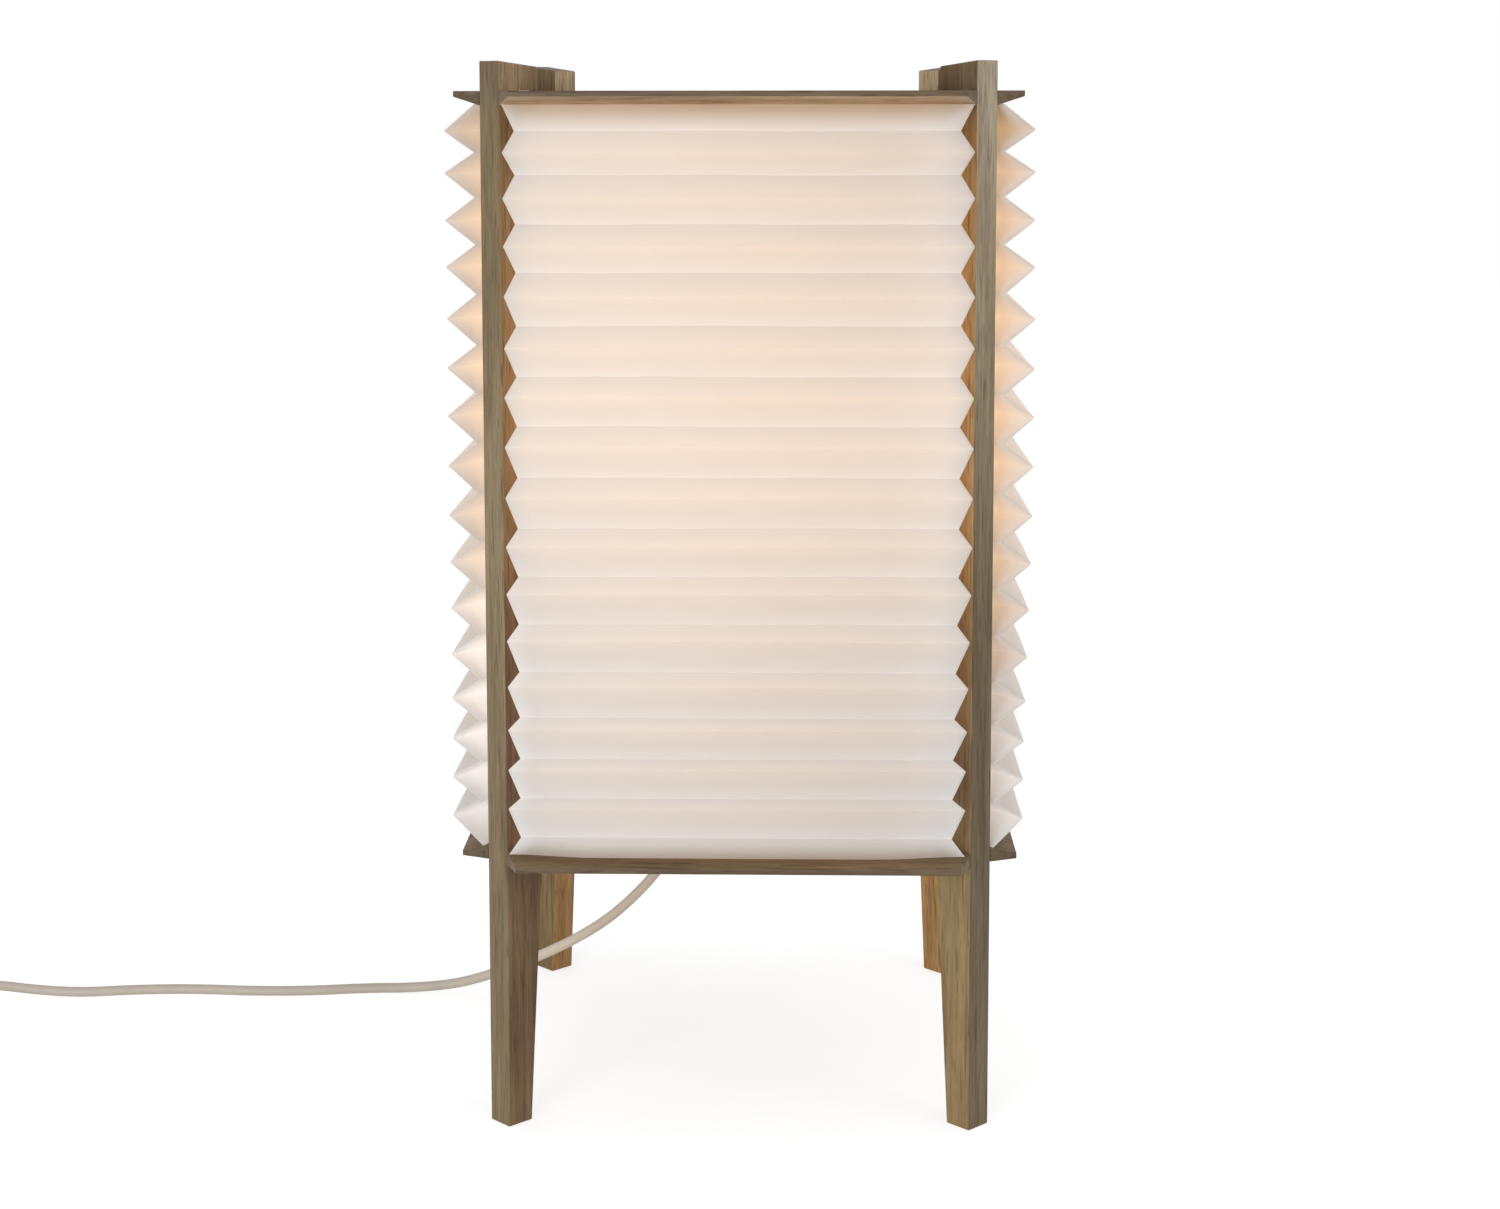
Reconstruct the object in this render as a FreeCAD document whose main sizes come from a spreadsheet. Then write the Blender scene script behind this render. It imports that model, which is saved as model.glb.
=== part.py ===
import FreeCAD, Part
import math
import os
import re

import Sketcher

# Table lamp with a pleated paper shade held between two boards on four diagonal legs.
# Millimetres. The origin is on the floor under the middle of the lamp, +Z up, and -Y is the front.
# "Reach" is a distance from the middle along a diagonal of the plan.

V = FreeCAD.Vector
ROOT2 = math.sqrt(2.0)

SIZES = [
    # frame
    ("lamp_height", 575.0, "floor to the outer top corner of a leg"),
    ("board_half", 150.3, "middle to the side of a board"),
    ("corner_cut", 32.5, "how much a board's straight side stops short of its corner"),
    ("leg_set", 28.76, "outer edge of a leg behind the corner where the boards' sides would meet"),
    ("leg_thick", 16.2, "thickness of a leg"),
    ("leg_top_width", 26.1, "width of a leg at its top"),
    ("leg_plate_width", 24.6, "width of a leg under the lower board, where its taper begins"),
    ("leg_foot_width", 15.5, "width of a leg at the floor"),
    ("leg_top_fall", 2.9, "fall of a leg's top towards the middle"),
    ("leg_ease", 0.8, "rounding of a leg's arrises"),
    ("lap_depth", 13.3, "depth of the slots in the boards"),
    ("lap_fit", 0.2, "clearance of the lap joints"),
    ("top_inset", 15.6, "upper board's face below the legs' tops"),
    ("low_height", 146.2, "floor to the underside of the lower board"),
    ("board_thick", 8.0, "thickness of a board"),
    ("bevel_width", 16.0, "width of the bevel along a board's sides"),
    ("bevel_drop", 5.0, "depth of that bevel at the edge"),
    ("vent_radius", 80.0, "round opening in the upper board"),
    # shade
    ("paper_wall", 0.8, "thickness of the folded paper, measured level"),
    ("shade_inset", 11.5, "inner folds behind the boards' edges"),
    ("pleat_depth", 17.0, "depth of a pleat"),
    ("gusset_depth", 17.9, "depth of a pleat beside a leg"),
    ("side_gap", 3.3, "paper to the side of a leg"),
    ("back_gap", 2.6, "paper to the inner edge of a leg"),
    ("rim_gap", 0.2, "paper to the boards"),
    ("first_fold", 12.7, "upper board to the first outer fold"),
    ("last_fold", 13.3, "lower board to the last outer fold"),
    # stem
    ("stem_radius", 5.0, "threaded tube"),
    ("stem_bore", 3.75, "its bore"),
    ("stem_past", 3.0, "how far the tube passes its lowest nut"),
    ("nut_across", 14.0, "hexagon nuts, across flats"),
    ("nut_thick", 3.0, "their thickness"),
    ("washer_radius", 10.0, "washers on the tube"),
    ("washer_thick", 1.5, "their thickness"),
    ("thread_fit", 0.1, "clearance on a thread or pin"),
    # lampholder
    ("holder_height", 262.0, "floor to the bottom of the lampholder"),
    ("holder_cap_tall", 28.0, "height of its cap"),
    ("holder_cap_radius", 20.0, "radius of its cap"),
    ("holder_foot_radius", 17.8, "radius of the cap at its bottom"),
    ("holder_floor", 8.0, "thickness of the cap's bottom"),
    ("holder_wall", 2.8, "wall of the cap"),
    ("ledge_height", 20.0, "height of the ledge that the contact block sits on"),
    ("block_thick", 11.0, "thickness of the contact block"),
    ("skirt_tall", 32.0, "height of the skirt"),
    ("skirt_gap", 1.1, "skirt to the bulb's screw cap"),
    ("tongue_height", 2.6, "height of the centre contact"),
    ("cord_hole_offset", 11.5, "the cap's cord hole from its middle"),
    # bulb
    ("cap_radius", 13.3, "radius of the bulb's screw cap"),
    ("cap_tall", 22.0, "height of the screw cap"),
    ("cap_wall", 0.5, "wall of the screw cap"),
    ("cap_thread", 0.8, "depth of its thread"),
    ("tip_radius", 4.5, "radius of the contact tip"),
    ("tip_tall", 2.0, "height of the tip"),
    ("insulator_tall", 3.4, "height of the insulator"),
    ("collar_tall", 7.0, "height of the collar between cap and globe"),
    ("globe_radius", 30.0, "radius of the globe"),
    ("globe_flare", 20.0, "slope of the globe's neck, degrees"),
    ("globe_wall", 1.2, "wall of the globe"),
    # cord and its strain relief
    ("cord_radius", 3.0, "radius of the cord"),
    ("cord_fit", 0.25, "clearance round the cord"),
    ("gland_x", -44.0, "place of the strain relief"),
    ("gland_y", 13.4, "place of the strain relief"),
    ("gland_radius", 5.0, "radius of its barrel"),
    ("gland_fit", 0.3, "clearance round the barrel"),
    ("gland_flange", 8.5, "radius of its flange"),
    ("gland_flange_thick", 3.0, "thickness of the flange"),
    ("gland_nose", 17.0, "length of its tapered nose"),
    ("gland_nut_thick", 4.0, "thickness of its nut"),
    ("gland_past", 2.0, "how far the barrel passes the nut"),
    # switch on the cord
    ("switch_x", -513.0, "middle of the switch"),
    ("switch_y", 62.0, "middle of the switch"),
    ("switch_long", 52.0, "length of the housing"),
    ("switch_wide", 26.0, "width of the housing"),
    ("switch_split", 8.0, "height of the lower half"),
    ("switch_tall", 17.0, "height of the housing"),
    ("switch_wall", 2.0, "wall of the housing"),
    ("switch_round", 6.0, "rounding of its upright corners"),
    ("switch_cord", 7.0, "height of the cord in the switch"),
    ("screw_place", 22.5, "the screws from the middle"),
    ("screw_radius", 1.3, "radius of the screws"),
    ("screw_head", 2.4, "radius of their heads"),
    ("screw_head_tall", 1.8, "height of the heads"),
    ("screw_top", 13.0, "floor to the screws' ends"),
    ("pivot_height", 12.0, "height of the rocker's pin"),
    ("pin_radius", 1.25, "radius of that pin"),
    ("rocker_half", 10.0, "half the rocker's length"),
    ("rocker_wide", 9.4, "width of the rocker"),
    ("rocker_crown", 7.0, "pin to the rocker's ends"),
    ("rocker_dip", 1.2, "hollow of the rocker's top"),
    ("rocker_deep", 2.2, "pin to the rocker's bottom"),
    ("rocker_tilt", 9.0, "tilt of the rocker to either side, degrees"),
    ("window_gap", 0.5, "clearance round the rocker"),
    # coil, tie and plug
    ("coil_reach", 84.0, "middle of the switch to the middle of the coil"),
    ("coil_radius", 42.0, "radius of its outer turn"),
    ("turn_gap", 0.6, "from one turn to the next, beside or above"),
    ("tie_wall", 0.8, "thickness of the tie"),
    ("tie_gap", 0.3, "tie to the cord"),
    ("tie_wide", 8.0, "width of the tie"),
    ("tail_long", 65.0, "middle of the coil to the plug"),
    ("tail_shift", 2.0, "plug in front of the coil's outer turn"),
    ("plug_relief", 14.0, "length of the plug's strain relief"),
    ("plug_long", 35.0, "length of the plug's body"),
    ("plug_wide", 35.3, "width of the plug's body"),
    ("plug_thick", 13.7, "thickness of the plug's body"),
    ("plug_neck", 15.0, "width of the body at the cord"),
    ("plug_round", 2.5, "rounding of the body"),
    ("prong_space", 19.0, "from pin to pin"),
    ("prong_radius", 2.0, "radius of a pin"),
    ("prong_long", 19.0, "length of a pin"),
    ("sleeve_long", 10.0, "length of the sleeve on a pin"),
    ("sleeve_radius", 1.8, "radius of the sleeve"),
]

# How the height between the first and the last outer fold is shared, from the top down: the paper
# is folded by hand and the pleats close up a little towards the bottom.
FOLD_SHARES = [
    22.4, 25.2, 24.9, 27.5, 26.4, 26.0, 26.8, 26.5, 25.5, 25.3, 25.5, 24.4, 22.0, 21.3, 21.3,
]

doc = FreeCAD.newDocument("lamp")
sheet = doc.addObject("Spreadsheet::Sheet", "sizes")
for row, (name, value, note) in enumerate(SIZES, 1):
    sheet.set("A%d" % row, name)
    sheet.set("B%d" % row, str(value))
    sheet.set("C%d" % row, note)
    sheet.setAlias("B%d" % row, name)
doc.recompute()

NAMES = {name for name, value, note in SIZES}


def bound(text):
    """The same sum with each size read from the sheet."""
    return re.sub(
        r"[a-z][a-z_]+",
        lambda m: "sizes." + m.group(0) if m.group(0) in NAMES else m.group(0),
        str(text),
    )


def size(text):
    """The value of a sum of sizes."""
    value = sheet.evalExpression(bound(text))
    return float(getattr(value, "Value", value))


# Places and heights that several pieces share.
REACH = "(sqrt(2) * board_half - leg_set)"
SIDE = "(board_half - corner_cut)"
TOP = "(lamp_height - top_inset)"
TOP_UNDER = "(lamp_height - top_inset - board_thick)"
LOW_OVER = "(low_height + board_thick)"
BLOCK_TOP = "(holder_height + ledge_height + block_thick)"
TIP = "(holder_height + ledge_height + block_thick + tongue_height)"
CAP = "(holder_height + ledge_height + block_thick + tongue_height + tip_tall + insulator_tall)"
COLLAR = (
    "(holder_height + ledge_height + block_thick + tongue_height + tip_tall + insulator_tall"
    " + cap_tall)"
)
NECK = (
    "(holder_height + ledge_height + block_thick + tongue_height + tip_tall + insulator_tall"
    " + cap_tall + collar_tall)"
)
SLOT_HALF = "(leg_thick / 2 + lap_fit)"
COIL_X = "(switch_x - coil_reach)"
PITCH = "(2 * cord_radius + turn_gap)"
PLUG_X = "(switch_x - coil_reach + tail_long)"
PLUG_Y = "(switch_y - 2 * coil_radius - tail_shift)"

parts = []


def keep(obj, label, place=None, turn=None):
    """A finished piece: its name, and where it stands if it was drawn about its own origin."""
    obj.Label = label
    if turn is not None:
        axis, angle = turn
        obj.Placement = FreeCAD.Placement(V(0, 0, 0), FreeCAD.Rotation(axis, angle))
    if place is not None:
        for letter, text in zip("xyz", place):
            obj.setExpression("Placement.Base." + letter, bound(text))
    parts.append(obj)
    return obj


def new_body(name):
    return doc.addObject("PartDesign::Body", name + "_body")


def draw(body, role, loops, lift=None):
    """A fixed sketch on one of the body's own planes. A loop is a list of corners, or a circle."""
    sketch = body.newObject("Sketcher::SketchObject", "sketch")
    plane = [f for f in body.Origin.OriginFeatures if f.Role == role][0]
    sketch.AttachmentSupport = [(plane, "")]
    sketch.MapMode = "FlatFace"
    if lift is not None:
        sketch.setExpression("AttachmentOffset.Base.z", bound(lift))

    def fix(kind, geometry, point, text):
        if point is None:
            index = sketch.addConstraint(Sketcher.Constraint(kind, geometry, size(text)))
        else:
            index = sketch.addConstraint(Sketcher.Constraint(kind, geometry, point, size(text)))
        sketch.setExpression("Constraints[%d]" % index, bound(text))

    for loop in loops:
        if isinstance(loop, tuple):
            x, y, radius = loop
            circle = Part.Circle(V(size(x), size(y), 0), V(0, 0, 1), size(radius))
            index = sketch.addGeometry(circle, False)
            fix("DistanceX", index, 3, x)
            fix("DistanceY", index, 3, y)
            fix("Radius", index, None, radius)
            continue
        spots = [V(size(x), size(y), 0) for x, y in loop]
        first = sketch.GeometryCount
        count = len(spots)
        for i in range(count):
            sketch.addGeometry(Part.LineSegment(spots[i], spots[(i + 1) % count]), False)
        for i in range(count):
            following = first + (i + 1) % count
            sketch.addConstraint(Sketcher.Constraint("Coincident", first + i, 2, following, 1))
        for i, (x, y) in enumerate(loop):
            fix("DistanceX", first + i, 1, x)
            fix("DistanceY", first + i, 1, y)
    return sketch


def pad(body, sketch, length, both=False):
    feature = body.newObject("PartDesign::Pad", "pad")
    feature.Profile = sketch
    feature.setExpression("Length", bound(length))
    feature.SideType = "Symmetric" if both else "One side"
    doc.recompute()
    return feature


def pocket(body, sketch, length, both=False, upward=False):
    """A cut, down from the sketch unless it is symmetric or goes upward; it must remove material."""
    before = body.Shape.Volume
    feature = body.newObject("PartDesign::Pocket", "pocket")
    feature.Profile = sketch
    feature.setExpression("Length", bound(length))
    feature.SideType = "Symmetric" if both else "One side"
    feature.Reversed = upward
    doc.recompute()
    if body.Shape.Volume > before - 1e-3:
        raise RuntimeError("a pocket in %s cuts nothing" % body.Name)
    return feature


def turned(name, loops):
    """A turned piece: the loops are half sections, radius and height, round the Z axis."""
    body = new_body(name)
    sketch = draw(body, "XZ_Plane", loops)
    feature = body.newObject("PartDesign::Revolution", "turning")
    feature.Profile = sketch
    feature.ReferenceAxis = (sketch, ["V_Axis"])
    feature.Angle = 360
    doc.recompute()
    return body


def block(name, low, high):
    """A plain box between two corners."""
    box = doc.addObject("Part::Box", name)
    for letter, a in zip("xyz", low):
        box.setExpression("Placement.Base." + letter, bound(a))
    for side, a, b in zip(("Length", "Width", "Height"), low, high):
        box.setExpression(side, bound("(%s) - (%s)" % (b, a)))
    return box


def rod(name, radius, height, place, turn=None):
    """A plain cylinder standing at place."""
    cylinder = doc.addObject("Part::Cylinder", name)
    if turn is not None:
        cylinder.Placement = FreeCAD.Placement(V(0, 0, 0), FreeCAD.Rotation(*turn))
    cylinder.setExpression("Radius", bound(radius))
    cylinder.setExpression("Height", bound(height))
    for letter, text in zip("xyz", place):
        cylinder.setExpression("Placement.Base." + letter, bound(text))
    return cylinder


def cut(name, base, tool):
    feature = doc.addObject("Part::Cut", name)
    feature.Base = base
    feature.Tool = tool
    return feature


def group(name, members):
    feature = doc.addObject("Part::Compound", name)
    feature.Links = members
    return feature


def edges_where(feature, test):
    """The names of a feature's edges whose middle and ends all pass a test."""
    found = []
    for i, edge in enumerate(feature.Shape.Edges, 1):
        spots = [v.Point for v in edge.Vertexes]
        spots.append(edge.valueAt((edge.FirstParameter + edge.LastParameter) / 2))
        if all(test(p) for p in spots):
            found.append("Edge%d" % i)
    return found


def rounded(body, base, names, radius):
    feature = body.newObject("PartDesign::Fillet", "rounding")
    feature.Base = (base, names)
    feature.setExpression("Radius", bound(radius))
    doc.recompute()
    return feature


# Legs: boards on edge, each in the vertical plane of a diagonal. X is the reach, Y the thickness.
def make_leg(label, bearing):
    body = new_body(label)
    outline = [
        (REACH + " - leg_foot_width", "0"),
        (REACH, "0"),
        (REACH, "lamp_height"),
        (REACH + " - leg_top_width", "lamp_height - leg_top_fall"),
        (REACH + " - leg_plate_width", "low_height"),
    ]
    solid = pad(body, draw(body, "XZ_Plane", [outline]), "leg_thick", both=True)
    half = size("leg_thick / 2")
    reach = size(REACH)
    height = size("lamp_height")
    fall = size("leg_top_fall")

    # the outer edge, the top and the foot are eased; the inner edge stays square
    def eased(p):
        outer = abs(p.x - reach) < 1e-6
        ends = p.z < 1e-6 or p.z > height - fall - 1e-6
        return (outer or ends) and (abs(abs(p.y) - half) < 1e-6)

    rounded(body, solid, edges_where(solid, eased), "leg_ease")
    for low in ("low_height", TOP_UNDER):
        inner = REACH + " - leg_top_width - 10"
        depth = REACH + " - lap_depth + lap_fit"
        over = low + " + board_thick + lap_fit"
        notch = [(inner, low), (depth, low), (depth, over), (inner, over)]
        pocket(body, draw(body, "XZ_Plane", [notch]), "2 * leg_thick", both=True)
    keep(body, label, turn=(V(0, 0, 1), bearing))


make_leg("leg_front_left", 225)
make_leg("leg_front_right", 315)
make_leg("leg_back_right", 45)
make_leg("leg_back_left", 135)


# Boards: drawn with the plain face at Z = 0 and the bevelled face up. The sides end in corners that
# are cut in to a slot, which the leg fills.
def board_outline():
    def spot(reach, across):
        return (
            "((%s) + (%s)) / sqrt(2)" % (reach, across),
            "((%s) - (%s)) / sqrt(2)" % (across, reach),
        )

    slot = REACH + " - lap_depth"
    corner = [
        (SIDE, "-board_half"),
        spot(REACH, "-" + SLOT_HALF),
        spot(slot, "-" + SLOT_HALF),
        spot(slot, SLOT_HALF),
        spot(REACH, SLOT_HALF),
        ("board_half", "-" + SIDE),
    ]
    outline = []
    for quarter in range(4):
        outline += corner
        corner = [("-(%s)" % y, x) for x, y in corner]
    return outline


def make_board(name, holes):
    body = new_body(name)
    pad(body, draw(body, "XY_Plane", [board_outline()]), "board_thick")
    # the bevel falls from its inner line to the edge; its section runs on past both
    slope = "bevel_drop / bevel_width"
    bevel = [
        ("-(board_half - bevel_width) + bevel_width / 5", "board_thick + bevel_drop / 5"),
        ("-(board_half + 2)", "board_thick + bevel_drop / 5"),
        ("-(board_half + 2)", "board_thick - bevel_drop - 2 * %s" % slope),
    ]
    first = pocket(body, draw(body, "YZ_Plane", [bevel]), "3 * board_half", both=True)
    before = body.Shape.Volume
    around = body.newObject("PartDesign::PolarPattern", "four_sides")
    around.Originals = [first]
    axis = [f for f in body.Origin.OriginFeatures if f.Role == "Z_Axis"][0]
    around.Axis = (axis, [""])
    around.Angle = 360
    around.Occurrences = 4
    body.Tip = around
    doc.recompute()
    if body.Shape.Volume > before - 1e-3:
        raise RuntimeError("the bevels of %s are missing" % name)
    for hole in holes:
        pocket(body, draw(body, "XY_Plane", [hole]), "2 * board_thick", upward=True)
    return body


vent = ("0", "0", "vent_radius")
stem_hole = ("0", "0", "stem_radius + thread_fit")
cord_hole = ("gland_x", "gland_y", "gland_radius + gland_fit")
keep(make_board("top_plate", [vent]), "top_plate", ("0", "0", TOP), (V(1, 0, 0), 180))
keep(make_board("bottom_plate", [stem_hole, cord_hole]), "bottom_plate", ("0", "0", "low_height"))


# Shade: one folded sheet. Its section is a square whose corners fold inwards round the legs, at the
# outer folds a pleat further out than at the inner folds. It starts and ends with an inner fold.
def shade_shape():
    half_out = size("board_half - shade_inset + pleat_depth")
    half_in = size("board_half - shade_inset")
    side_in = size("leg_thick / 2 + side_gap")
    side_out = side_in + size("gusset_depth")
    back_in = size(REACH + " - leg_top_width - back_gap")
    back_out = back_in - size("pleat_depth")
    wall = size("paper_wall")
    bevel_line = size("board_half - bevel_width")
    slope = size("bevel_drop / bevel_width")
    top = size(TOP_UNDER + " - rim_gap")
    bottom = size(LOW_OVER + " + rim_gap")

    def section(half, side, back, shrink):
        """One level's corners, four to a leg, as points in plan."""
        half = half - shrink
        side = side + shrink
        back = back - shrink
        corner = [
            (half - ROOT2 * side, -half),
            ((back - side) / ROOT2, -(back + side) / ROOT2),
            ((back + side) / ROOT2, -(back - side) / ROOT2),
            (half, ROOT2 * side - half),
        ]
        ring = []
        for quarter in range(4):
            ring += corner
            corner = [(-y, x) for x, y in corner]
        return ring

    def skin(shrink):
        """The levels of one side of the paper, and the two rims, which follow the boards' bevels."""
        first = size(TOP_UNDER + " - first_fold")
        last = size(LOW_OVER + " + last_fold")
        total = sum(FOLD_SHARES)
        outer = [first]
        for share in FOLD_SHARES:
            outer.append(outer[-1] - share / total * (first - last))
        levels = []
        for i, z in enumerate(outer):
            levels.append([V(x, y, z) for x, y in section(half_out, side_out, back_out, shrink)])
            if i + 1 < len(outer):
                z = (z + outer[i + 1]) / 2
                levels.append([V(x, y, z) for x, y in section(half_in, side_in, back_in, shrink)])
        rise = slope * (half_in - wall - bevel_line)
        rims = []
        for z, sign in ((top, 1), (bottom, -1)):
            ring = section(half_in, side_in, back_in, shrink)
            reach_in = bevel_line - ROOT2 * (side_in + shrink)
            spots = []
            for i, (x, y) in enumerate(ring):
                turn = i // 4
                knee = {0: (reach_in, -bevel_line), 3: (bevel_line, -reach_in)}.get(i % 4)
                if knee is None:
                    spots.append([V(x, y, z)])
                    continue
                for quarter in range(turn):
                    knee = (-knee[1], knee[0])
                spots.append([V(x, y, z + sign * rise), V(knee[0], knee[1], z)])
            rims.append(spots)
        return levels, rims

    faces = []

    def face(*spots):
        faces.append(Part.Face(Part.makePolygon(list(spots) + [spots[0]])))

    def end_band(level, rim):
        for i in range(16):
            j = (i + 1) % 16
            kind = i % 4
            if kind == 0:
                face(level[i], level[j], rim[j][0], rim[i][1])
                face(level[i], rim[i][1], rim[i][0])
            elif kind == 2:
                face(level[i], level[j], rim[j][1], rim[i][0])
                face(level[j], rim[j][0], rim[j][1])
            else:
                face(level[i], level[j], rim[j][0], rim[i][0])

    skins = [skin(0.0), skin(wall)]
    for levels, rims in skins:
        for a, b in zip(levels, levels[1:]):
            for i in range(16):
                j = (i + 1) % 16
                face(a[i], a[j], b[j], b[i])
        end_band(levels[0], rims[0])
        end_band(levels[-1], rims[1])
    for outer, inner in zip(skins[0][1], skins[1][1]):
        for i in range(16):
            j = (i + 1) % 16
            kind = i % 4
            if kind == 0:
                face(outer[i][1], outer[j][0], inner[j][0], inner[i][1])
                face(outer[i][0], outer[i][1], inner[i][1])
                face(outer[i][0], inner[i][1], inner[i][0])
            elif kind == 2:
                face(outer[i][0], outer[j][1], inner[j][1], inner[i][0])
                face(outer[j][1], outer[j][0], inner[j][1])
                face(outer[j][0], inner[j][0], inner[j][1])
            else:
                face(outer[i][0], outer[j][0], inner[j][0], inner[i][0])
    sewn = Part.makeCompound(faces)
    sewn.sewShape()
    shell = sewn.Shells[0] if sewn.Shells else Part.makeShell(sewn.Faces)
    solid = Part.makeSolid(shell)
    if solid.Volume < 0:
        solid.reverse()
    return solid


shade = doc.addObject("Part::Feature", "shade")
shade.Shape = shade_shape()
keep(shade, "pleated_shade")

# Stem: a threaded tube through the lower board, clamped by a nut and washer on each side, with a
# third nut against the lampholder.
LOW_NUT = "low_height - washer_thick - nut_thick"
HIGH_NUT = LOW_OVER + " + washer_thick"
LOCK_NUT = "holder_height - nut_thick"
stem = turned(
    "stem_tube",
    [
        [
            ("stem_bore", LOW_NUT + " - stem_past"),
            ("stem_radius", LOW_NUT + " - stem_past"),
            ("stem_radius", "holder_height + holder_floor"),
            ("stem_bore", "holder_height + holder_floor"),
        ]
    ],
)
keep(stem, "stem_tube")


def hexagon_nut(name, bottom, thick, hole, across="nut_across", x="0", y="0"):
    prism = doc.addObject("Part::Prism", name + "_prism")
    prism.Polygon = 6
    prism.setExpression("Circumradius", bound("%s / sqrt(3)" % across))
    prism.setExpression("Height", bound(thick))
    for letter, text in zip("xyz", (x, y, bottom)):
        prism.setExpression("Placement.Base." + letter, bound(text))
    bore = rod(name + "_bore", hole, "(%s) + 2" % thick, (x, y, "(%s) - 1" % bottom))
    return cut(name, prism, bore)


def washer(name, bottom):
    disc = rod(name + "_disc", "washer_radius", "washer_thick", ("0", "0", bottom))
    hole = rod(
        name + "_bore",
        "stem_radius + thread_fit",
        "washer_thick + 2",
        ("0", "0", "(%s) - 1" % bottom),
    )
    return cut(name, disc, hole)


nuts = [
    hexagon_nut("nut_%d" % i, bottom, "nut_thick", "stem_radius + thread_fit")
    for i, bottom in enumerate((LOW_NUT, HIGH_NUT, LOCK_NUT))
]
keep(group("nuts", nuts), "stem_nuts")
washers = [washer("washer_0", "low_height - washer_thick"), washer("washer_1", LOW_OVER)]
keep(group("washers", washers), "stem_washers")

# Lampholder: a cap screwed to the stem, a skirt, and the contact block clamped between them.
CAP_IN = "holder_cap_radius - holder_wall"
CAP_TOP = "holder_height + holder_cap_tall"
LEDGE = "holder_height + ledge_height"
body = turned(
    "holder_cap",
    [
        [
            ("stem_radius + thread_fit", "holder_height"),
            ("holder_foot_radius", "holder_height"),
            ("holder_cap_radius", "holder_height + holder_floor"),
            ("holder_cap_radius", CAP_TOP),
            (CAP_IN, CAP_TOP),
            (CAP_IN, LEDGE),
            (CAP_IN + " - 2", LEDGE),
            (CAP_IN + " - 2", "holder_height + holder_floor"),
            ("stem_radius + thread_fit", "holder_height + holder_floor"),
        ]
    ],
)
# the cord's hole, on the side towards the strain relief
span = math.hypot(size("gland_x"), size("gland_y"))
hole_x = "cord_hole_offset * gland_x / sqrt(gland_x ^ 2 + gland_y ^ 2)"
hole_y = "cord_hole_offset * gland_y / sqrt(gland_x ^ 2 + gland_y ^ 2)"
hole = (hole_x, hole_y, "cord_radius + cord_fit")
pocket(
    body,
    draw(body, "XY_Plane", [hole], lift="holder_height - 1"),
    "holder_floor + 2",
    upward=True,
)
keep(body, "holder_cap")
keep(
    turned(
        "holder_skirt",
        [
            [
                (CAP_IN, CAP_TOP),
                ("holder_cap_radius + 1", CAP_TOP),
                ("holder_cap_radius + 1", CAP_TOP + " + skirt_tall / 3"),
                ("holder_cap_radius - 1", CAP_TOP + " + skirt_tall / 3 + 2"),
                ("holder_cap_radius - 2", CAP_TOP + " + skirt_tall"),
                ("cap_radius + skirt_gap", CAP_TOP + " + skirt_tall"),
                ("cap_radius + skirt_gap", BLOCK_TOP),
                (CAP_IN, BLOCK_TOP),
            ]
        ],
    ),
    "holder_skirt",
)
ceramic = rod("block_disc", CAP_IN + " - thread_fit", "block_thick", ("0", "0", LEDGE))
keep(ceramic, "contact_block")
# the spring tongue under the bulb's tip, and the strip beside its thread
keep(block("tongue", ("-3", "-3", BLOCK_TOP), ("3", "3", TIP)), "centre_contact")
strip = block(
    "strip",
    ("cap_radius + thread_fit", "-2", BLOCK_TOP),
    ("cap_radius + thread_fit + 0.6", "2", BLOCK_TOP + " + 12"),
)
keep(strip, "side_contact")
heads = [
    rod("head_%d" % i, "2.75", "2.2", ("0", place, LEDGE + " - 2.2"))
    for i, place in enumerate(("-9", "9"))
]
keep(group("heads", heads), "terminal_screws")

# Bulb: contact tip, insulator, screw cap, collar and an opal globe whose middle is the glow's.
keep(rod("tip_disc", "tip_radius", "tip_tall", ("0", "0", TIP)), "bulb_tip")
cone = doc.addObject("Part::Cone", "insulator_cone")
cone.setExpression("Radius1", bound("tip_radius + 1"))
cone.setExpression("Radius2", bound("cap_radius - cap_thread - cap_wall"))
cone.setExpression("Height", bound("insulator_tall"))
cone.setExpression("Placement.Base.z", bound(TIP + " + tip_tall"))
keep(cone, "bulb_insulator")

# the cap's thread: rounds of equal height, out and in
THREADS = 4
outside = [("cap_radius - cap_thread", CAP)]
inside = [("cap_radius - cap_thread - cap_wall", CAP)]
for turn in range(THREADS):
    for part, depth in ((0.5, "0"), (1.0, "cap_thread")):
        level = "%s + cap_tall * %s" % (CAP, 0.85 * (turn + part) / THREADS)
        outside.append(("cap_radius - %s" % depth, level))
        inside.append(("cap_radius - %s - cap_wall" % depth, level))
outside.append(("cap_radius", COLLAR))
inside.append(("cap_radius - cap_wall", COLLAR))
keep(turned("bulb_cap", [outside + inside[::-1]]), "bulb_cap")
keep(
    turned(
        "bulb_collar",
        [
            [
                ("0", COLLAR),
                ("cap_radius", COLLAR),
                ("cap_radius + 1", NECK),
                ("0", NECK),
            ]
        ],
    ),
    "bulb_collar",
)


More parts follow.
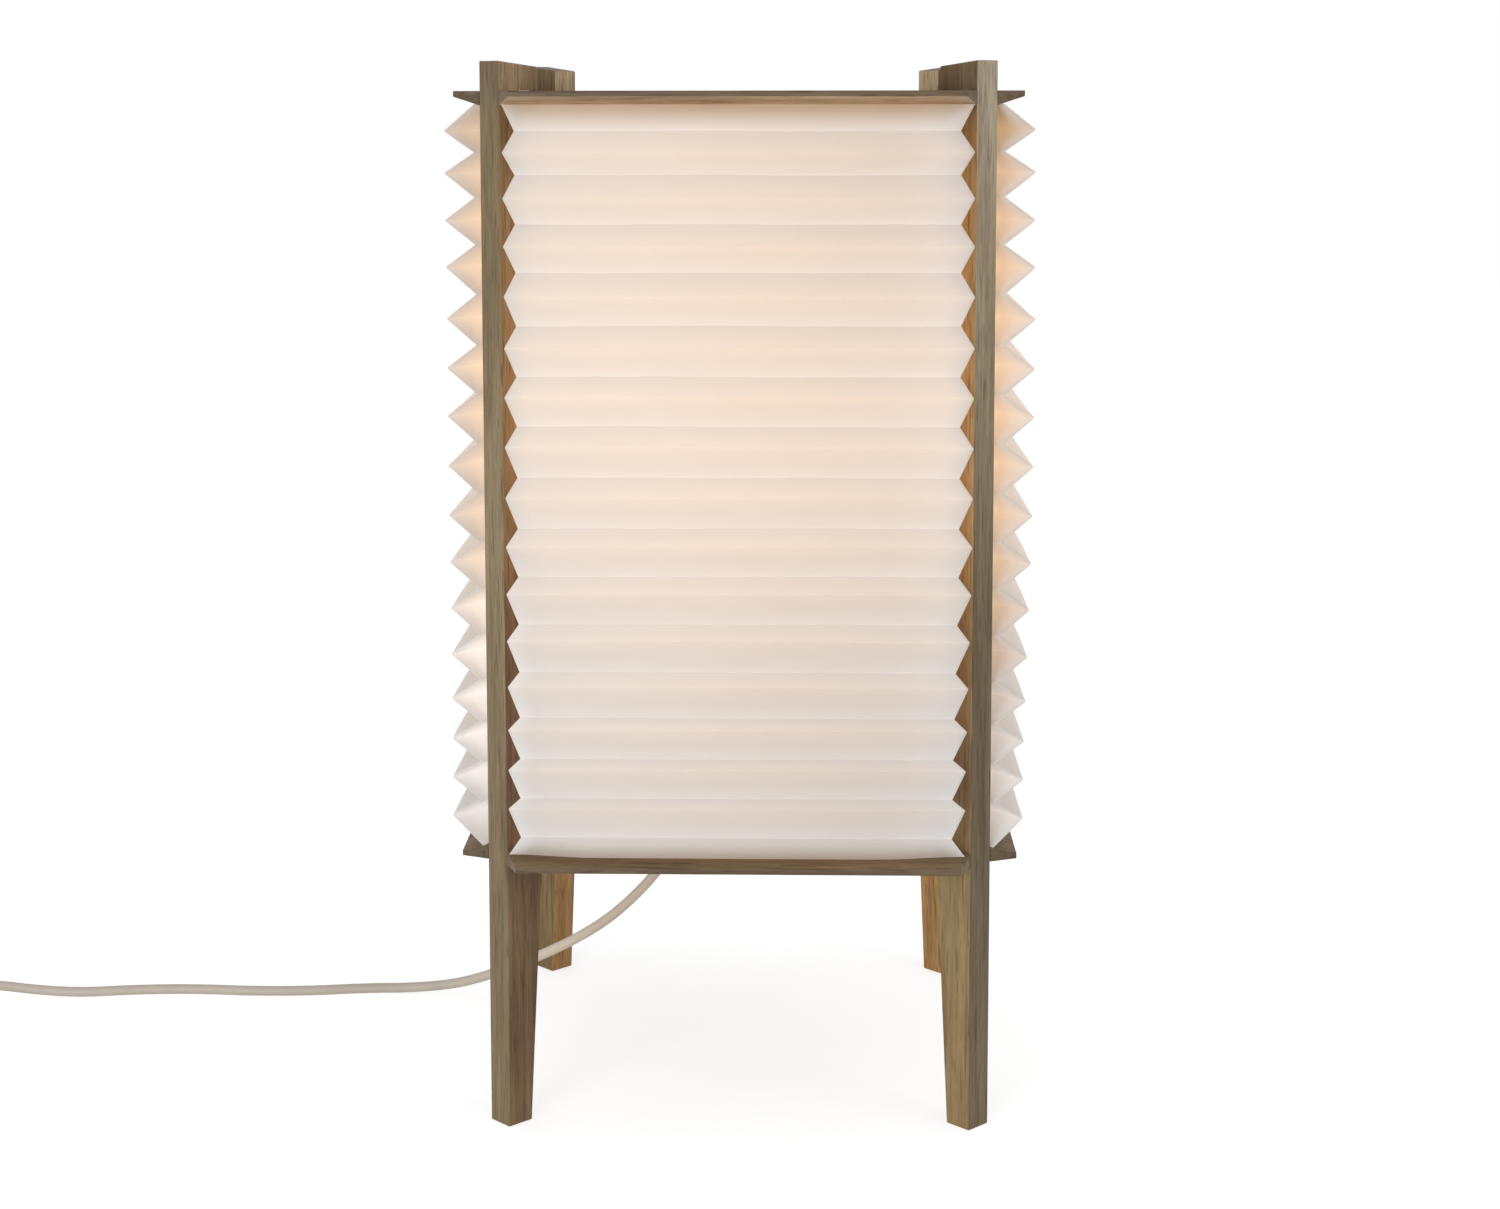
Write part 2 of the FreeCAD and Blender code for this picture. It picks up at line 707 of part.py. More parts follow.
def globe(name, radius, neck):
    """A ball that runs into a straight neck without a corner, standing on the collar."""
    flare = "globe_flare * 1 deg"
    tall = "((globe_radius * cos(%s) - cap_radius - 1) / tan(%s))" % (flare, flare)
    middle = "%s + %s + globe_radius * sin(%s)" % (NECK, tall, flare)
    ball = doc.addObject("Part::Sphere", name + "_ball")
    ball.setExpression("Radius", bound(radius))
    ball.setExpression("Angle1", bound("-globe_flare"))
    ball.setExpression("Placement.Base.z", bound(middle))
    neck_cone = doc.addObject("Part::Cone", name + "_neck")
    neck_cone.setExpression("Radius1", bound(neck))
    neck_cone.setExpression("Radius2", bound("(%s) * cos(%s)" % (radius, flare)))
    neck_cone.setExpression(
        "Height", bound("%s + (globe_radius - (%s)) * sin(%s)" % (tall, radius, flare))
    )
    neck_cone.setExpression("Placement.Base.z", bound(NECK))
    both = doc.addObject("Part::Fuse", name)
    both.Base = ball
    both.Tool = neck_cone
    return both


outer_globe = globe("globe_outside", "globe_radius", "cap_radius + 1")
inner_globe = globe(
    "globe_inside",
    "globe_radius - globe_wall",
    "cap_radius + 1 - globe_wall / cos(globe_flare * 1 deg)",
)
keep(cut("globe", outer_globe, inner_globe), "bulb_globe")

# Strain relief through the lower board: flange and tapered nose below, barrel and nut above.
GLAND_TOP = LOW_OVER + " + gland_nut_thick + gland_past"
GLAND_END = "(low_height - gland_flange_thick - gland_nose)"
gland = turned(
    "cord_gland",
    [
        [
            ("0", GLAND_END),
            ("cord_radius + 1.2", GLAND_END),
            ("gland_radius + 1.4", "low_height - gland_flange_thick"),
            ("gland_flange", "low_height - gland_flange_thick"),
            ("gland_flange", "low_height"),
            ("gland_radius", "low_height"),
            ("gland_radius", GLAND_TOP),
            ("0", GLAND_TOP),
        ]
    ],
)
keep(gland, "cord_gland", ("gland_x", "gland_y", "0"))
gland_nut = hexagon_nut(
    "gland_ring",
    LOW_OVER,
    "gland_nut_thick",
    "gland_radius + thread_fit",
    x="gland_x",
    y="gland_y",
)
keep(gland_nut, "gland_nut")


# Cords: straight runs joined by tangent arcs, as wide as the two runs allow.
def cord(label, spots, radius, least=None):
    spots = [V(*p) for p in spots]
    edges = []
    start = spots[0]
    radii = []
    for before, here, after in zip(spots, spots[1:], spots[2:]):
        into = here - before
        out = after - here
        turn = into.getAngle(out)
        setback = 0.45 * min(into.Length, out.Length)
        radii.append(setback / math.tan(turn / 2))
        into.normalize()
        out.normalize()
        a = here - into * setback
        b = here + out * setback
        bend = radii[-1]
        inward = (out - into).normalize()
        centre = here + inward * (bend / math.cos(turn / 2))
        mid = centre - inward * bend
        edges.append(Part.LineSegment(start, a).toShape())
        edges.append(Part.Arc(a, mid, b).toShape())
        start = b
    edges.append(Part.LineSegment(start, spots[-1]).toShape())
    path = Part.Wire(edges)
    circle = Part.Circle(spots[0], spots[1] - spots[0], radius)
    solid = path.makePipeShell([Part.Wire([circle.toShape()])], True, False)
    ratio = solid.Volume / (math.pi * radius * radius * path.Length)
    shown = " ".join("%.0f" % r for r in radii)
    print("%s: %.0f long, volume ratio %.4f, bend radii %s" % (label, path.Length, ratio, shown))
    if abs(ratio - 1) > 0.01:
        raise RuntimeError("%s isn't a clean tube" % label)
    feature = doc.addObject("Part::Feature", label)
    feature.Shape = solid
    return keep(feature, label)


cord_radius = size("cord_radius")
gland_spot = V(size("gland_x"), size("gland_y"), 0)
hole_spot = V(size(hole_x), size(hole_y), 0)


# from the strain relief up to the lampholder, in a gentle S that ends inside the cap
def riser_spot(share, height):
    spot = gland_spot + (hole_spot - gland_spot) * share
    return (spot.x, spot.y, height)


riser_low = size(GLAND_TOP)
riser_high = size("holder_height + holder_floor + 6")
riser_tall = riser_high - riser_low
RISER = [(0.0, 0.0), (0.0, 0.187), (0.242, 0.384), (0.727, 0.59), (1.0, 0.778), (1.0, 1.0)]
cord(
    "cord_riser",
    [riser_spot(share, riser_low + part * riser_tall) for share, part in RISER],
    cord_radius,
)

# from the strain relief down to the floor and away to the left; each point is where the cord of
# the real lamp runs, and beyond x = -300 it goes on in the same easy line
gland_end = size(GLAND_END)
switch_end = size("switch_x + switch_long / 2")
switch_z = size("switch_cord")
LEAD = [
    (gland_spot.x, gland_spot.y, gland_end),
    (gland_spot.x, gland_spot.y, gland_end - 13.8),
    (-49.4, 14.7, 99.7),
    (-64.0, 19.5, 81.5),
    (-84.0, 27.0, 61.5),
    (-112.0, 39.5, 41.5),
    (-145.0, 54.0, 23.0),
    (-176.0, 66.5, 8.6),
    (-207.0, 73.3, cord_radius),
    (-238.0, 72.2, cord_radius),
    (-271.0, 66.6, cord_radius),
    (-307.0, 65.4, cord_radius),
    (-345.0, 68.8, cord_radius),
    (-384.0, 66.2, cord_radius),
    (-413.0, 60.6, cord_radius),
    (-441.0, 60.2, 4.6),
    (switch_end + 20.0, size("switch_y"), switch_z),
    (switch_end, size("switch_y"), switch_z),
]
cord("cord_lead", LEAD, cord_radius)

# Switch: two halves screwed together, a pin across the upper one, and a rocker on it. Drawn about
# the middle of its underside.
SWITCH = ("switch_x", "switch_y", "0")


def plate_loop(half_long, half_wide):
    return [
        ("-(%s)" % half_long, "-(%s)" % half_wide),
        (half_long, "-(%s)" % half_wide),
        (half_long, half_wide),
        ("-(%s)" % half_long, half_wide),
    ]


def uprights(feature, half_long, half_wide):
    """The four upright corners of a box."""

    def test(p):
        return abs(abs(p.x) - half_long) < 1e-6 and abs(abs(p.y) - half_wide) < 1e-6

    return edges_where(feature, test)


def switch_half(name, bottom, top, hollow_from, hollow_to):
    body = new_body(name)
    outline = plate_loop("switch_long / 2", "switch_wide / 2")
    solid = pad(body, draw(body, "XY_Plane", [outline], lift=bottom), "%s - (%s)" % (top, bottom))
    corners = uprights(solid, size("switch_long / 2"), size("switch_wide / 2"))
    rounded(body, solid, corners, "switch_round")
    inside = plate_loop("switch_long / 2 - switch_wall - 5", "switch_wide / 2 - switch_wall")
    sketch = draw(body, "XY_Plane", [inside], lift=hollow_from)
    pocket(body, sketch, "%s - (%s)" % (hollow_to, hollow_from), upward=True)
    return body


def screw_holes(radius):
    return [(sign + "screw_place", "0", radius) for sign in ("-", "")]


body = switch_half("switch_base", "0", "switch_split", "switch_wall", "switch_split + 1")
holes = draw(body, "XY_Plane", screw_holes("screw_radius + thread_fit"), lift="switch_split + 1")
pocket(body, holes, "switch_split + 2")
holes = draw(body, "XY_Plane", screw_holes("screw_head + thread_fit"))
pocket(body, holes, "screw_head_tall + thread_fit", upward=True)
keep(body, "switch_base", SWITCH)

body = switch_half(
    "switch_cover", "switch_split", "switch_tall", "switch_split - 1", "switch_tall - switch_wall"
)
holes = draw(body, "XY_Plane", screw_holes("screw_radius + thread_fit"), lift="switch_split")
pocket(body, holes, "screw_top + thread_fit - switch_split", upward=True)
window = plate_loop(
    "rocker_half + rocker_crown * sin(rocker_tilt * 1 deg) + window_gap",
    "rocker_wide / 2 + window_gap",
)
sketch = draw(body, "XY_Plane", [window], lift="switch_tall - switch_wall - 1")
pocket(body, sketch, "switch_wall + 2", upward=True)
# the pin's two bearing posts, down from the roof beside the window, and the pin's bore
post_in = "rocker_wide / 2 + window_gap"
post_out = "rocker_wide / 2 + window_gap + 2.4"
for sign in ("", "-"):
    post = [
        ("-3", "%s(%s)" % (sign, post_in)),
        ("3", "%s(%s)" % (sign, post_in)),
        ("3", "%s(%s)" % (sign, post_out)),
        ("-3", "%s(%s)" % (sign, post_out)),
    ]
    sketch = draw(body, "XY_Plane", [post], lift="switch_split")
    pad(body, sketch, "switch_tall - switch_wall - switch_split")
bore = ("0", "pivot_height", "pin_radius + thread_fit")
sketch = draw(body, "XZ_Plane", [bore])
pocket(body, sketch, "2 * (%s)" % post_out, both=True)
keep(body, "switch_cover", SWITCH)

pin = rod(
    "pin_rod",
    "pin_radius",
    "2 * (%s)" % post_out,
    ("switch_x", "switch_y - (%s)" % post_out, "pivot_height"),
    (V(1, 0, 0), -90),
)
keep(pin, "switch_pin")

# the rocker, drawn level about its pin, lies tilted with its right end down
body = new_body("switch_rocker")
profile = [
    ("-rocker_half", "-rocker_deep"),
    ("rocker_half", "-rocker_deep"),
    ("rocker_half", "rocker_crown"),
    ("0", "rocker_crown - rocker_dip"),
    ("-rocker_half", "rocker_crown"),
]
pad(body, draw(body, "XZ_Plane", [profile]), "rocker_wide", both=True)
bore = ("0", "0", "pin_radius + 2 * thread_fit")
pocket(body, draw(body, "XZ_Plane", [bore]), "2 * rocker_wide", both=True)
tilt = size("rocker_tilt")
keep(body, "switch_rocker", ("switch_x", "switch_y", "pivot_height"), (V(0, 1, 0), tilt))

# screws up through the housing's ends, and a pair of contact springs on the floor of the lower half
screws = []
for i, sign in enumerate(("-", "+")):
    place = "switch_x %s screw_place" % sign
    head = rod("head_of_%d" % i, "screw_head", "screw_head_tall", (place, "switch_y", "0"))
    shank = rod(
        "shank_of_%d" % i,
        "screw_radius",
        "screw_top - screw_head_tall / 2",
        (place, "switch_y", "screw_head_tall / 2"),
    )
    screw = doc.addObject("Part::Fuse", "screw_%d" % i)
    screw.Base = head
    screw.Tool = shank
    screws.append(screw)
keep(group("screws", screws), "switch_screws")
springs = []
for i, place in enumerate(("-9", "5")):
    springs.append(
        block(
            "spring_%d" % i,
            ("switch_x + (%s)" % place, "switch_y - 2.5", "switch_wall"),
            ("switch_x + (%s) + 4" % place, "switch_y + 2.5", "switch_wall + 4.5"),
        )
    )
keep(group("springs", springs), "switch_contacts")

# Link from the switch to the coil, which is raised by the tie that goes under it.
coil_z = size("cord_radius + tie_wall + tie_gap")
coil_x = size(COIL_X)
coil_y = size("switch_y")
link_start = size("switch_x - switch_long / 2")
coil_start = coil_x + 2 * cord_radius
LINK = [
    (link_start, coil_y, switch_z),
    (link_start - 16.0, coil_y, switch_z),
    (coil_start + 15.0, coil_y, coil_z),
    (coil_start, coil_y, coil_z),
]
cord("cord_link", LINK, cord_radius)


# Coil: half circles, each a half pitch smaller than the last, so that the turns lie side by side;
# the seventh climbs to the second layer, and the rest wind out again above the first.
def coil_shape():
    pitch = size(PITCH)
    radius = size("coil_radius")
    inward = 6
    radii = [radius - pitch / 2 * k for k in range(inward)]
    radii = radii + [radius - pitch / 2 * inward] + radii[::-1]
    z = coil_z
    y = coil_y
    edges = []
    dense = []
    for k, r in enumerate(radii):
        left = k % 2 == 0
        across = -2 * r if left else 2 * r
        rise = pitch if k == inward else 0.0
        a = V(coil_x, y, z)
        b = V(coil_x, y + across, z + rise)
        middle = (a + b) * 0.5
        bulge = V(-1 if left else 1, 0, 0) * (b - a).Length * 0.5
        edges.append(Part.Arc(a, middle + bulge, b).toShape())
        arm = a - middle
        for step in range(60):
            turn = math.pi * step / 60
            dense.append(middle + arm * math.cos(turn) + bulge * math.sin(turn))
        y = b.y
        z = b.z
    # both ends run straight for one diameter
    first = V(coil_x, coil_y, coil_z)
    last = V(coil_x, y, z)
    straight = V(2 * cord_radius, 0, 0)
    edges.insert(0, Part.LineSegment(first + straight, first).toShape())
    edges.append(Part.LineSegment(last, last + straight).toShape())
    path = Part.Wire(edges)
    circle = Part.Circle(first + straight, V(-1, 0, 0), cord_radius)
    solid = path.makePipeShell([Part.Wire([circle.toShape()])], True, False)
    ratio = solid.Volume / (math.pi * cord_radius * cord_radius * path.Length)
    # the least gap between stretches that are more than a third of a turn apart
    gap = 1e9
    apart = 40
    for i, p in enumerate(dense):
        for q in dense[i + apart:]:
            gap = min(gap, (p - q).Length)
    gap -= 2 * cord_radius
    print("cord_coil: %.0f long, volume ratio %.4f" % (path.Length, ratio))
    print("cord_coil: least gap to itself %.2f mm" % gap)
    if abs(ratio - 1) > 0.01:
        raise RuntimeError("the coil isn't a clean tube")
    return solid, last + straight


coil = doc.addObject("Part::Feature", "coil")
coil.Shape, coil_end = coil_shape()
keep(coil, "cord_coil")

# Tie: a strap round the three turns on the coil's right side.
# the innermost turn bends away inside the strap's width
INNER = "(coil_radius - 5 * %s / 2 - cord_radius)" % PITCH
SAG = "((tie_wide + %s) / 2) ^ 2 / (2 * %s)" % (PITCH, INNER)
TIE_IN = COIL_X + " + %s - tie_gap - %s" % (INNER, SAG)
TIE_OUT = COIL_X + " + coil_radius - %s / 2 + cord_radius + tie_gap" % PITCH
TIE_TOP = "tie_wall + 2 * tie_gap + 2 * cord_radius + " + PITCH
TIE_Y = "switch_y - coil_radius"
outside = block(
    "tie_outside",
    (TIE_IN + " - tie_wall", TIE_Y + " - tie_wide / 2", "0"),
    (TIE_OUT + " + tie_wall", TIE_Y + " + tie_wide / 2", TIE_TOP + " + tie_wall"),
)
inside = block(
    "tie_inside",
    (TIE_IN, TIE_Y + " - tie_wide", "tie_wall"),
    (TIE_OUT, TIE_Y + " + tie_wide", TIE_TOP),
)
keep(cut("tie", outside, inside), "coil_tie")

# Tail from the coil down to the plug, which lies flat with its pins to the right.
plug_z = size("plug_thick / 2")
plug_x = size(PLUG_X)
plug_y = size(PLUG_Y)
TAIL = [
    (coil_end.x, coil_end.y, coil_end.z),
    (coil_end.x + 14.0, coil_end.y, coil_end.z),
    (coil_end.x + 31.0, coil_end.y - 1.2, coil_end.z - 2.4),
    (plug_x - 13.0, plug_y, plug_z),
    (plug_x, plug_y, plug_z),
]
cord("cord_tail", TAIL, cord_radius)

body = new_body("plug_body")
START = PLUG_X + " + plug_relief"
outline = [
    (START, PLUG_Y + " - plug_neck / 2"),
    (START + " + plug_long * 0.6", PLUG_Y + " - plug_wide / 2"),
    (START + " + plug_long", PLUG_Y + " - plug_wide / 2"),
    (START + " + plug_long", PLUG_Y + " + plug_wide / 2"),
    (START + " + plug_long * 0.6", PLUG_Y + " + plug_wide / 2"),
    (START, PLUG_Y + " + plug_neck / 2"),
]
solid = pad(body, draw(body, "XY_Plane", [outline]), "plug_thick")
thick = size("plug_thick")
start = size(START)


def plug_sides(p):
    return (p.z < 1e-6 or p.z > thick - 1e-6) and p.x > start - 1e-6


def plug_uprights(p):
    return abs(p.z - thick / 2) < thick / 2 + 1e-6


names = [n for n in edges_where(solid, plug_uprights) if n not in edges_where(solid, plug_sides)]
rounded(body, solid, names, "plug_round")
relief = body.newObject("PartDesign::Revolution", "relief")
sketch = draw(
    body,
    "XZ_Plane",
    [
        [
            (PLUG_X, "plug_thick / 2"),
            (PLUG_X, "plug_thick / 2 + cord_radius + 1"),
            (START + " + 1", "plug_thick / 2 + cord_radius + 2.6"),
            (START + " + 1", "plug_thick / 2"),
        ]
    ],
    lift="-" + PLUG_Y,
)
relief.Profile = sketch
relief.ReferenceAxis = (sketch, ["Edge4"])
relief.Angle = 360
body.Tip = relief
doc.recompute()
keep(body, "plug_body")

FACE = START + " + plug_long"
sleeves = []
prongs = []
for i, sign in enumerate(("-", "+")):
    place_y = PLUG_Y + " %s prong_space / 2" % sign
    sleeves.append(
        rod(
            "sleeve_%d" % i,
            "sleeve_radius",
            "sleeve_long",
            (FACE, place_y, "plug_thick / 2"),
            (V(0, 1, 0), 90),
        )
    )
    prongs.append(
        rod(
            "prong_%d" % i,
            "prong_radius",
            "prong_long - sleeve_long",
            (FACE + " + sleeve_long", place_y, "plug_thick / 2"),
            (V(0, 1, 0), 90),
        )
    )
keep(group("sleeves", sleeves), "plug_sleeves")
keep(group("prongs", prongs), "plug_pins")

doc.recompute()

for obj in doc.Objects:
    if "Invalid" in obj.State or "Error" in obj.State:
        raise RuntimeError("%s failed: %s" % (obj.Name, obj.State))
for obj in parts:
    if obj.Shape.isNull() or not obj.Shape.isValid():
        raise RuntimeError("%s has no valid shape" % obj.Label)

os.makedirs("parts", exist_ok=True)
for obj in parts:
    obj.Shape.exportStep("parts/%s.step" % obj.Label)
print("%d sub-parts written" % len(parts))
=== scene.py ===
import math

import bmesh
import bpy
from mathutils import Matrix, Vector, noise


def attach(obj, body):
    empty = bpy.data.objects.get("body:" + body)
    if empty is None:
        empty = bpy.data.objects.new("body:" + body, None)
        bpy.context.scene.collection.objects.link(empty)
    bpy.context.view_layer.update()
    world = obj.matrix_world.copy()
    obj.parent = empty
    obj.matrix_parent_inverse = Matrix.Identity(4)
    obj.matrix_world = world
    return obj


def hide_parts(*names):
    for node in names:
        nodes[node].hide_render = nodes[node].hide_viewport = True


# A pleated paper table lamp: four oak legs on the diagonals, two bevelled boards and a folded
# shade, lit from inside. The floor is at zero and the front towards -Y. Lengths in mm are made
# metres by MM.

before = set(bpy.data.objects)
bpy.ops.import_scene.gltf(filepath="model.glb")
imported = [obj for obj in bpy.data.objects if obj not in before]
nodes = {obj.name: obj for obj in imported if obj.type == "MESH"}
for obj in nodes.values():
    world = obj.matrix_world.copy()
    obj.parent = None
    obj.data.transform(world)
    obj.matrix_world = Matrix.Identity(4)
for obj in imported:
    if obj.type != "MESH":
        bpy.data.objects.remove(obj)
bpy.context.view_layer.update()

MM = 0.001
ROOT2 = math.sqrt(2.0)

# Camera, where the photograph was taken from.
eye = bpy.data.cameras.new("eye")
eye.sensor_width = 36.0
eye.lens = 61.33
eye.shift_x = 0.0099
eye.shift_y = -0.1494
eye.clip_start = 0.05
eye.clip_end = 30.0
camera = bpy.data.objects.new("camera", eye)
camera.location = (0.0298, -1.4677, 0.5557)
camera.rotation_euler = (math.radians(90 - 6.311), math.radians(0.061), math.radians(1.334))
bpy.context.scene.collection.objects.link(camera)
bpy.context.scene.camera = camera

# The flex: out of its strain relief, down to the floor, away to the left, through the switch and
# round the coil to the plug.
SHEATH = 3.0  # its radius
EXIT = (-44.0, 13.4, 126.2)
ROUTE = [
    EXIT,
    (-44.0, 13.4, 112.4),
    (-49.4, 14.7, 99.7),
    (-64.0, 19.5, 81.5),
    (-84.0, 27.0, 61.5),
    (-112.0, 39.5, 41.5),
    (-145.0, 54.0, 23.0),
    (-176.0, 66.5, 8.6),
    (-207.0, 73.3, 3.0),
    (-238.0, 72.2, 3.0),
    (-271.0, 66.6, 3.0),
    (-307.0, 65.4, 3.0),
    (-345.0, 68.8, 3.0),
    (-384.0, 66.2, 3.0),
    (-413.0, 60.6, 3.0),
    (-441.0, 60.2, 4.6),
    (-467.0, 62.0, 7.0),
    (-487.0, 62.0, 7.0),
    (-539.0, 62.0, 7.0),
    (-555.0, 62.0, 7.0),
    (-576.0, 62.0, 4.1),
    (-591.0, 62.0, 4.1),
]


HALF_TURN_POINTS = 12


def coil_points(x, y, z, radius, pitch, inward):
    """Half turns that wind in, climb one layer, and wind out again over the first."""
    radii = [radius - pitch / 2 * k for k in range(inward)]
    radii = radii + [radius - pitch / 2 * inward] + radii[::-1]
    apart = 180 / HALF_TURN_POINTS
    # the spline cuts inside its points, so they lie as far outside the turn
    reach = 1 / math.cos(math.radians(apart / 2))
    points = []
    for k, r in enumerate(radii):
        side = -1 if k % 2 == 0 else 1
        rise = pitch if k == inward else 0.0
        start = Vector((x, y, z))
        stop = Vector((x, y + 2 * side * r, z + rise))
        middle = (start + stop) / 2
        arm = start - middle
        bulge = Vector((side, 0, 0)) * arm.length
        for step in range(HALF_TURN_POINTS):
            turn = math.radians(apart * (step + 0.5))
            points.append(middle + (arm * math.cos(turn) + bulge * math.sin(turn)) * reach)
        y, z = stop.y, stop.z
    return points, y, z


turns, tail_y, tail_z = coil_points(x=-597.0, y=62.0, z=4.1, radius=42.0, pitch=6.6, inward=6)
ROUTE += [tuple(p) for p in turns]
ROUTE += [
    (-591.0, tail_y, tail_z),
    (-577.0, tail_y, tail_z),
    (-560.0, tail_y - 1.2, tail_z - 2.4),
    (-545.0, -24.0, 6.85),
    (-532.0, -24.0, 6.85),
]


def bent_flex(name, points, radius):
    curve = bpy.data.curves.new(name, "CURVE")
    curve.dimensions = "3D"
    # each point has the flex's radius and the bevel only takes it over, so the curve's box is the
    # flex's own
    curve.bevel_depth = 1.0
    curve.bevel_resolution = 5
    curve.use_fill_caps = True
    spline = curve.splines.new("NURBS")
    spline.points.add(len(points) - 1)
    for spot, (x, y, z) in zip(spline.points, points):
        spot.co = (x * MM, y * MM, z * MM, 1.0)
        spot.radius = radius * MM
    spline.order_u = 3
    spline.use_endpoint_u = True
    spline.resolution_u = 6
    flex = bpy.data.objects.new(name, curve)
    bpy.context.scene.collection.objects.link(flex)
    return flex


flex = bent_flex("flex", ROUTE, SHEATH)
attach(flex, "lamp")
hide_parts("cord_lead", "cord_link", "cord_coil", "cord_tail")


# Finishes.
WHITE = (1.0, 1.0, 1.0)


def grey(level):
    return (level, level, level)


class Finish:
    """A material and its nodes. A node's value is a number, a colour or another node's output, and
    each pattern is given as the output that carries it."""

    def __init__(self, name):
        self.material = bpy.data.materials.new(name)
        self.material.use_nodes = True
        self.tree = self.material.node_tree
        self.tree.nodes.clear()
        output = self.tree.nodes.new("ShaderNodeOutputMaterial")
        self.shader = self.tree.nodes.new("ShaderNodeBsdfPrincipled")
        self.tree.links.new(self.shader.outputs["BSDF"], output.inputs["Surface"])
        self.place = self.tree.nodes.new("ShaderNodeTexCoord").outputs["Object"]

    def feed(self, node, values):
        """Gives a node's inputs their values, by name or number."""
        for key, value in values.items():
            socket = node.inputs[key]
            if isinstance(value, bpy.types.NodeSocket):
                self.tree.links.new(value, socket)
            elif socket.type == "RGBA":
                socket.default_value = (*value, 1.0)
            else:
                socket.default_value = value

    def surface(self, **values):
        """Gives the shader's own inputs their values, an underscore for each space."""
        self.feed(self.shader, {key.replace("_", " "): value for key, value in values.items()})

    def add(self, kind, values, **settings):
        node = self.tree.nodes.new(kind)
        for key, setting in settings.items():
            setattr(node, key, setting)
        self.feed(node, values)
        return node

    def maths(self, kind, *values):
        node = self.add("ShaderNodeMath", dict(enumerate(values)), operation=kind)
        return node.outputs["Value"]

    def vector(self, kind, *values, out="Vector"):
        node = self.add("ShaderNodeVectorMath", dict(enumerate(values)), operation=kind)
        return node.outputs[out]

    def mixed(self, kind, factor, a, b):
        """Two colours mixed. A Mix node takes its factor at 0, and colours at 6 and 7."""
        values = {0: factor, 6: a, 7: b}
        node = self.add("ShaderNodeMix", values, data_type="RGBA", blend_type=kind)
        return node.outputs["Result"]

    def ranged(self, source, start, stop, low=0.0, high=1.0):
        """Goes from low to high as the source goes from start to stop."""
        values = {"From Min": start, "From Max": stop, "To Min": low, "To Max": high}
        return self.add("ShaderNodeMapRange", {"Value": source, **values}).outputs["Result"]

    def ramp(self, source, stops):
        node = self.add("ShaderNodeValToRGB", {"Fac": source})
        band = node.color_ramp
        band.elements.remove(band.elements[1])
        for k, (at, colour) in enumerate(stops):
            element = band.elements.new(at) if k else band.elements[0]
            element.position = at
            element.color = (*colour, 1.0)
        return node.outputs["Color"]

    def attribute(self, label):
        return self.add("ShaderNodeAttribute", {}, attribute_name=label).outputs["Fac"]

    def upward(self, vector):
        """A vector's upward part. A place's is its height above the floor, in metres."""
        return self.add("ShaderNodeSeparateXYZ", {"Vector": vector}).outputs["Z"]

    def scaled(self, x, y, z):
        """Object coordinates, stretched by the grain's proportions."""
        values = {"Vector": self.place, "Scale": (x, y, z)}
        return self.add("ShaderNodeMapping", values).outputs["Vector"]

    def noise(self, vector, scale, detail, roughness, distortion=0.0):
        values = {"Vector": vector, "Scale": scale, "Detail": detail}
        values |= {"Roughness": roughness, "Distortion": distortion}
        return self.add("ShaderNodeTexNoise", values).outputs["Fac"]

    def roughen(self, pattern, start, stop):
        """Roughness that goes from start to stop over the middle of a pattern."""
        self.surface(Roughness=self.ramp(pattern, [(0.3, grey(start)), (0.7, grey(stop))]))

    def bump(self, pattern, depth, strength):
        """Relief after a pattern, its depth in mm."""
        values = {"Height": pattern, "Distance": depth * MM, "Strength": strength}
        self.surface(Normal=self.add("ShaderNodeBump", values).outputs["Normal"])


TONES_TO = 600.0  # mm, the height at which the oak's ramps end


